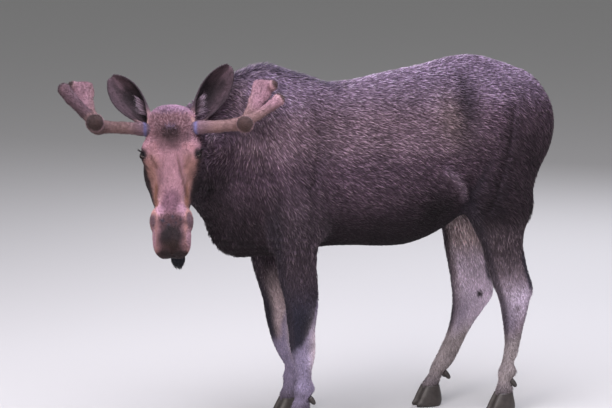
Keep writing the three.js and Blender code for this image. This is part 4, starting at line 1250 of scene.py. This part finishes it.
def add_dewclaw(name, x, y):
    """Small claw behind the pastern: rounded rings along an axis that dips back and down."""
    rows, columns = 12, 24
    t = np.linspace(0, 46, rows)[:, None]
    a = np.linspace(0, 2 * np.pi, columns, endpoint=False)[None]
    ahead = np.array([np.cos(DEWCLAW_DIP), 0, -np.sin(DEWCLAW_DIP)])
    up = np.array([np.sin(DEWCLAW_DIP), 0, np.cos(DEWCLAW_DIP)])
    r = claw_radius(t)
    ring = (np.array([x, y, DEWCLAW_HEIGHT]) + t[..., None] * ahead
            + (r * np.sin(a))[..., None] * [0, 1, 0] + (0.75 * r * np.cos(a))[..., None] * up)
    points = ring.reshape(-1, 3)
    points = np.concatenate([points, ring[[0, -1]].mean(1) + [0 * ahead, 2 * ahead]])
    corners, sizes = capped_rings(rows, columns, True)
    piece = make_piece(name.replace("_dewclaw_", "_claw_"), points, corners, sizes, material=HORN)
    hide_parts(name)


for leg_name, leg in LEGS.items():
    foot_y = leg["side"] * leg["centre"](COAT_LINE)
    for digit, side in (("outer", leg["side"]), ("inner", -leg["side"])):
        add_hoof(f"{leg_name}_hoof_{digit}", leg["foot"], foot_y, side)
        add_dewclaw(f"{leg_name}_dewclaw_{digit}", leg["back"](DEWCLAW_HEIGHT) - DEWCLAW_SUNK,
                    foot_y + side * DEWCLAW_APART)


# ---------------------------------------------------------------- the coat

# A tuft is a thin bent blade with three sides: a root triangle under the skin, a middle
# triangle and a tip. Corners of its seven faces, and their places on its patch of OFBake.
TUFT_FACES = [(0, 1, 2), (0, 3, 4, 1), (0, 2, 5, 3), (2, 1, 4, 5), (3, 6, 4), (3, 5, 6), (5, 4, 6)]
TUFT_PATCH = 0.003
TUFT_UV = np.array([
    (0.05, 0.02), (0.95, 0.02), (0.5, 0.2),
    (0.0, 0.25), (0.0, 0.6), (0.3, 0.6), (0.3, 0.25),
    (0.35, 0.25), (0.65, 0.25), (0.65, 0.6), (0.35, 0.6),
    (0.7, 0.25), (1.0, 0.25), (1.0, 0.6), (0.7, 0.6),
    (0.0, 0.6), (0.15, 1.0), (0.3, 0.6),
    (0.35, 0.6), (0.65, 0.6), (0.5, 1.0),
    (0.7, 0.6), (1.0, 0.6), (0.85, 1.0)])


def tuft_arrays(root, normal, lie, length, wide, lift, colours, places):
    """All tufts of a piece as arrays. The middle lies at 0.5 of the length and 0.72 of the lift,
    so a tuft leaves the skin steeply and then lies over. The three colours are those of root,
    middle and tip."""
    side = np.cross(normal, lie)
    count = len(root)
    at = []
    for along, high, spread in ((-0.04, 0.0, 0.5), (0.5, 0.72, 0.42)):
        sunk = 1.2 if along < 0 else 0.0
        middle = root + lie * (length * along)[:, None] + normal * (lift * high - sunk)[:, None]
        half = (wide * spread)[:, None]
        at += [middle + side * half, middle - side * half, middle + normal * half * 0.8]
    at.append(root + lie * length[:, None] + normal * lift[:, None])
    points = np.stack(at, 1).reshape(-1, 3)
    shades = np.stack([colours[0]] * 3 + [colours[1]] * 3 + [colours[2]], 1)
    pattern = np.concatenate(TUFT_FACES)
    corners = (np.arange(count)[:, None] * 7 + pattern).ravel()
    sizes = np.tile([len(f) for f in TUFT_FACES], count)
    low, span = places.min(0), np.ptp(places, axis=0)
    spots = 0.004 + (places - low) / np.maximum(span, 1e-6) * (0.992 - TUFT_PATCH)
    uv = (spots[:, None] + TUFT_UV * TUFT_PATCH).reshape(-1, 2)
    return points, corners, sizes, shades.reshape(-1, 3), uv


def add_tufts(name, *tufts, material, slot):
    """One coat piece of those tufts."""
    points, corners, sizes, shades, uv = tuft_arrays(*tufts)
    make_piece(name, points, corners, sizes, shades, uv, material=material)
SWIRL = (-480, -172, 1450)                      # middle of the whorl on the neck


def coat_lie(p, normal, is_head, is_ear, is_bell):
    """Which way the hair lies: back and down over the body, down the legs and brisket, up and
    back over the face, out along the ears, laid flat against the surface."""
    x, _, z = p.T
    s, _ = along_spine(p)
    back = spine_direction(s)
    fall = mix(0.55, 1.6, 1 - ease(s, -380, 160))
    fall = mix(fall, 0.22, (1 - ease(z, 960, 1200)) * ease(s, -60, 120))
    fall = mix(fall, 1.8, ease(x, 900, 1150))
    fall = mix(fall, 0.12, 1 - ease(z, 860, 960))
    fall = fall * (1 - 0.85 * mane(p))
    way = back + fall[:, None] * [0, 0, -1]
    legs = np.minimum.reduce([leg_field(leg, p) for leg in LEGS.values()])
    on_leg = (1 - ease(legs, 20, 70)) * (1 - ease(z, 880, 1080))
    way = mix(unit(way), np.array([0.12, 0, -1.0]), on_leg[:, None])
    spin = hill(p, SWIRL, (130, 130, 130))
    swirl = np.cross(p - np.array(SWIRL), normal) / 60
    way = way + swirl * spin[:, None] * 1.4
    q = to_head(p)
    up_face = -DOWN_FACE + 0.5 * ACROSS * np.clip(q[:, 1:2] / 60, -1, 1) - 0.35 * OUT
    way = mix(way, up_face, is_head[:, None])
    way = mix(way, np.array([0.1, 0.0, -1.0]), is_bell[:, None])
    for ear in EARS.values():
        t, _, rho = ear_place(ear, p)
        near = is_ear * (rho < 110) * (t > -60)
        way = mix(way, ear_axes(ear)[2] @ HEAD_AXES.T, near[:, None])
    way = way + 0.10 * np.stack([noise(p, 40, k) for k in (11, 12, 13)], 1)
    way -= normal * (way * normal).sum(1, keepdims=True)
    return unit(way)


def unwrap(p, region):
    """Two coordinates of a place on the skin's own unrolled shape: along and round the spine,
    along and round a leg, or along and round the head or an ear."""
    q = to_head(p)
    if region.startswith("ear"):
        t, angle, _ = ear_place(EARS[region[4:]], p)
        return np.stack([t, angle * 60], 1)
    if region == "head":
        return np.stack([q[:, 0], np.arctan2(q[:, 1], -(q[:, 2] + 110)) * 100], 1)
    if region.endswith("leg"):
        leg = LEGS[region[:-4]]
        at = np.clip(p[:, 2], COAT_LINE, leg["top"])
        middle = (leg["front"](at) + leg["back"](at)) / 2
        round_it = np.arctan2(p[:, 1] - leg["side"] * leg["centre"](at), p[:, 0] - middle)
        return np.stack([round_it * 60, p[:, 2]], 1)
    s, d = along_spine(p)
    return np.stack([s, np.arctan2(p[:, 2] - widest_at(s), d) * 300], 1)


COAT_PARTS = [                                  # from and to along the spine, name of the piece
    (-np.inf, -250, "neck"),
    (-250, 180, "shoulder"),
    (180, 740, "flank"),
    (740, np.inf, "haunch"),
]
LEG_COAT_TOP = 840                              # the legs' own pieces reach up to here


def regions_of(p, is_head, is_ear, is_bell):
    """Name of the coat piece that each root belongs to."""
    s, d = along_spine(p)
    q = to_head(p)
    name = np.full(len(p), "bare", dtype="U16")
    right = d > 0
    for low, high, part in COAT_PARTS:
        along = (s >= low) & (s < high)
        name[along & ~right] = part + "_left"
        name[along & right] = part + "_right"
    for leg_name, leg in LEGS.items():
        near = (leg_field(leg, p) < 30) & (p[:, 2] < LEG_COAT_TOP)
        name[near] = leg_name + "_leg"
    name[is_head > 0.5] = "head"
    name[is_bell > 0.5] = "bell"
    name[(is_ear > 0.5) & (q[:, 1] > 0)] = "ear_left"
    name[(is_ear > 0.5) & (q[:, 1] <= 0)] = "ear_right"
    return name


def scatter(points, normals, quads, areas, spacing):
    """Roots spread evenly over the quads, about one for each spacing squared."""
    wanted = areas / spacing ** 2
    number = np.floor(wanted + rng.random(len(wanted))).astype(int)
    face = np.repeat(np.arange(len(quads)), number)
    u, v = rng.random((2, len(face), 1))
    corner = [(1 - u) * (1 - v), u * (1 - v), u * v, (1 - u) * v]
    root = sum(points[quads[face, i]] * corner[i] for i in range(4))
    normal = unit(sum(normals[quads[face, i]] * corner[i] for i in range(4)))
    return root, normal


def turned(lie, normal, spread):
    """The lie of each tuft turned in the surface by a random angle."""
    angle = (rng.normal(0, 1, len(lie)) * spread)[:, None]
    return unit(lie * np.cos(angle) + np.cross(normal, lie) * np.sin(angle))


def shank_share(p):
    """1 down on the shanks, 0 on the body."""
    return 1 - ease(p[:, 2], 450, 950)


def tuft_sizes(p, is_head, is_ear, is_bell):
    """Spacing, length and width in mm: long on the body, longest on the crest and bell, short
    down the legs, shortest on the face and ears."""
    shank = shank_share(p)
    q = to_head(p)
    curl = is_head * (1 - ease(np.hypot(q[:, 0] + 120, 0.8 * q[:, 1]), 55, 90)) * ease(q[:, 2], -90, -40)
    crest = mane(p)
    spacing = mix(mix(7.0, 8.0, shank), 6.0, crest)
    length = mix(35, 17, shank) + 22 * crest
    wide = mix(3.4, 3.0, shank)
    tiers = ((is_head, 5.4, 10, 2.3), (is_ear, 5.8, 9, 2.2), (is_bell, 4.4, 36, 3.4), (curl, 5.0, 22, 2.6))
    for share, *own in tiers:
        spacing, length, wide = (mix(a, b, share) for a, b in zip((spacing, length, wide), own))
    return spacing, length, wide, curl


WARM = np.array([1.22, 1.02, 0.90])             # red, green and blue of the sun-bleached tips


def tuft_colours(colour, vary, amount, in_shade):
    """Colours of root, middle and tip. Each tuft is lighter or darker by vary times amount, the
    roots are painted dark, as shade inside the coat, and the tips are warmer and paler, as on a summer coat."""
    middle_shade = np.exp(0.46 * vary * amount - 0.16)
    tip_shade = middle_shade * np.exp(amount * (0.6 * np.maximum(vary, 0) - 0.05))
    # painted shade at the roots, lighter where the coat is short: head, ears and shanks
    root_shade = mix(0.42, 0.8, in_shade)
    warm = colour.mean(1, keepdims=True) * WARM
    tip_colour = mix(colour, warm, 0.75 * amount[:, None])
    return [colour * root_shade[:, None], colour * middle_shade[:, None],
            np.clip(tip_colour * tip_shade[:, None], 0, 0.9)]


def grow_coat():
    """Scatters the tufts over the skin, sizes, lays and colours them, and makes one piece of
    each region. Random numbers: place, length, width, lift, turn, shade."""
    middle = skin_points[skin_quads].mean(1)
    spacing, *_ = tuft_sizes(middle, *shares(middle))
    sparse = 1.0
    root, normal = scatter(skin_points, skin_normals, skin_quads, skin_areas, spacing * sparse)
    parts = shares(root)
    is_head, is_ear, is_bell = parts
    _, length, wide, curl = tuft_sizes(root, *parts)
    crest = mane(root)
    shank = shank_share(root)
    count = len(root)
    length = length * rng.uniform(0.75, 1.2, count)
    wide = wide * sparse ** 0.6 * rng.uniform(0.8, 1.2, count)
    under = (1 - is_head) * (1 - is_bell) * ease(-normal[:, 2], 0.1, 0.6)
    s, _ = along_spine(root)
    under = np.maximum(under, 0.9 * (1 - ease(s, -460, -380)) * (1 - ease(root[:, 2], 1200, 1320))
                       * (1 - is_head) * (1 - is_bell))
    length = length * mix(1.0, 0.6, under)
    lift = coat_depth(root, *parts) * rng.uniform(0.45, mix(1.0, 1.25, crest), count)
    lift = lift * mix(1.0, 0.5, under) + 5 * curl
    lie = coat_lie(root, normal, *parts)
    lie = turned(lie, normal, 0.15 + 0.6 * curl + 0.12 * crest)
    colour = markings(root, *parts)
    vary = np.clip(rng.normal(0, 0.9, count) + 0.6 * noise(root, 18, 9), -1.6, 1.6)
    amount = mix(1.0, 0.35, np.maximum(np.maximum(is_head - 0.2 * curl, is_ear), 0.6 * shank))
    guard = ease(vary, 0.75, 1.1) * amount
    wide = wide * (1 + 0.15 * guard)
    lift = lift + 1.5 * guard
    in_shade = np.maximum(np.maximum(is_head, is_ear) - curl * 0.5, shank)
    colours = tuft_colours(colour, vary, amount, in_shade)
    q = to_head(root)
    eyes = np.linalg.norm(np.stack([q[:, 0], np.abs(q[:, 1]), q[:, 2]], 1) - EYE_PLACE, axis=1)
    region = regions_of(root, *parts)
    region[eyes < EYE_RADIUS + 7] = "bare"
    region[root[:, 2] < COAT_LINE + 6] = "bare"
    for name in sorted(set(region) - {"bare"}):
        of = region == name
        add_tufts("coat_" + name, root[of], normal[of], lie[of], length[of], wide[of], lift[of],
                  [c[of] for c in colours], unwrap(root[of], name), material=HAIR, slot="coat")


def grow_ear_fringe(side):
    """Long pale hairs inside an ear: rooted in a band by the inner rim near the base, along the ear and out.
    """
    base, span, axis, front, aside = ear_axes(EARS[side])
    count = 220
    inward = 1 if side == "right" else -1
    t = rng.uniform(8, 80, count)
    share = rng.uniform(0.8, 1.0, count)
    angle = inward * share * ear_roll(t)
    r = ear_radius(t) - EAR_WALL / 2
    ahead = ear_radius(t) - ear_back(t) - r * np.cos(angle)
    q = (base + (t * span / EAR_LENGTH)[:, None] * axis
         + ahead[:, None] * front + (r * np.sin(angle))[:, None] * aside)
    normal = np.cos(angle)[:, None] * front - np.sin(angle)[:, None] * aside
    lie = axis + 0.35 * front - 0.25 * (np.sign(angle)[:, None] * aside)
    root = from_head(q)
    normal, lie = unit(normal @ HEAD_AXES.T), unit(lie @ HEAD_AXES.T)
    lie = unit(lie - normal * (lie * normal).sum(1, keepdims=True))
    lie = turned(lie, normal, 0.16)
    pale = np.exp(rng.normal(0, 0.5, count))[:, None]
    colours = [linear("#3a2c31") * pale, linear("#75636d") * pale, linear("#a3909a") * pale]
    length = rng.uniform(30, 65, count)
    add_tufts("coat_ear_fringe_" + side, root, normal, lie, length, rng.uniform(1.6, 2.6, count),
              rng.uniform(6, 20, count), colours, np.stack([t, angle], 1), material=HAIR, slot="coat")


def grow_lashes(side):
    """Stiff dark lashes: a fan on the upper lid's edge, out and down over the eye."""
    count = 60
    mirror = np.array([1, 1 if side == "left" else -1, 1])
    turn = np.linspace(0.1, 0.9, count) * np.pi
    up = EYE_LONG * np.cos(turn)[:, None] * 18 - EYE_TALL * np.sin(turn)[:, None] * 13
    q = EYE_PLACE + up + EYE_AXIS * 15
    lie = unit(EYE_AXIS + 0.045 * up)
    normal = unit(np.cross(lie, np.cross(-up, lie)))
    root = from_head(q * mirror)
    normal, lie = (normal * mirror) @ HEAD_AXES.T, (lie * mirror) @ HEAD_AXES.T
    lie = turned(lie, normal, 0.12)
    dark = np.tile(linear("#120e12"), (count, 1))
    add_tufts("coat_lashes_" + side, root, normal, lie, rng.uniform(20, 30, count),
              rng.uniform(1.0, 1.6, count), rng.uniform(2, 7, count), [dark] * 3,
              np.stack([turn, rng.uniform(0, 1, count)], 1), material=HAIR, slot="coat")


def grow_velvet(side):
    """Short fuzz on an antler, lying away from the skull, fine enough to soften its edge."""
    points, quads = antler_meshes[side]
    normals, areas = quad_normals(points, quads)
    spacing = 5.2
    root, normal = scatter(points, normals, quads, areas, np.full(len(quads), spacing))
    outward = unit(to_head(root) * [1, 1, 0.3]) @ HEAD_AXES.T
    lie = turned(unit(outward - normal * (outward * normal).sum(1, keepdims=True)), normal, 0.5)
    count = len(root)
    colour = antler_colours(side, root)
    shade = np.exp(0.22 * rng.normal(0, 1, count))[:, None]
    # roots painted darker, as shade in the fuzz, and tips paler, as painted light caught on the fuzz
    colours = [colour * 0.7, colour * shade, np.clip(colour * shade * 1.35, 0, 0.9)]
    q = to_head(root)
    add_tufts("coat_velvet_" + side, root, normal, lie, rng.uniform(5, 9, count),
              rng.uniform(1.6, 2.6, count), rng.uniform(1.5, 4.5, count), colours,
              np.stack([np.abs(q[:, 1]), q[:, 0] - q[:, 2]], 1), material=HAIR, slot="velvet")


grow_coat()
for side in ("right", "left"):
    grow_ear_fringe(side)
    grow_lashes(side)
    grow_velvet(side)


# ---------------------------------------------------------------- floor and light


def floor_material():
    """Pale matt studio floor."""
    material, shader = new_material("matt floor")
    shader.inputs["Base Color"].default_value = rgba("#bfbdb9")
    shader.inputs["Roughness"].default_value = 0.9
    return material


def add_floor():
    """Flat studio floor, far wider than the picture."""
    reach = 60.0
    mesh = bpy.data.meshes.new("floor")
    mesh.from_pydata([(-reach, -reach, 0), (reach, -reach, 0), (reach, reach, 0), (-reach, reach, 0)],
                     [], [(0, 1, 2, 3)])
    mesh.materials.append(floor_material())
    floor = bpy.data.objects.new("floor", mesh)
    bpy.context.scene.collection.objects.link(floor)


def add_light(name, location, target, size, power, colour):
    """A soft square lamp that faces the target."""
    data = bpy.data.lights.new(name, "AREA")
    data.size = size
    data.energy = power
    data.color = linear(colour)
    lamp = bpy.data.objects.new(name, data)
    lamp.location = location
    away = Vector(location) - Vector(target)
    lamp.rotation_euler = away.to_track_quat("Z", "Y").to_euler()
    bpy.context.scene.collection.objects.link(lamp)


def add_light_and_sky():
    """Soft light from above and the left, a little from behind, and an even pale sky."""
    add_light("sky_panel", (-0.8, -1.8, 6.5), (0, 0, 0.9), 6.5, 980, "#f1efff")
    add_light("key_panel", (-7.0, -7.0, 4.6), (-0.4, 0, 1.1), 3.0, 300, "#fff5ee")
    add_light("back_panel", (4.5, 5.0, 4.5), (0.2, 0, 1.2), 3.0, 220, "#eef0ff")
    world = bpy.data.worlds.new("studio")
    bpy.context.scene.world = world
    world.use_nodes = True
    world.node_tree.nodes["Background"].inputs["Color"].default_value = rgba("#e4e6ea")
    world.node_tree.nodes["Background"].inputs["Strength"].default_value = 0.36
    bpy.context.scene.view_settings.view_transform = "Standard"


add_floor()
add_light_and_sky()
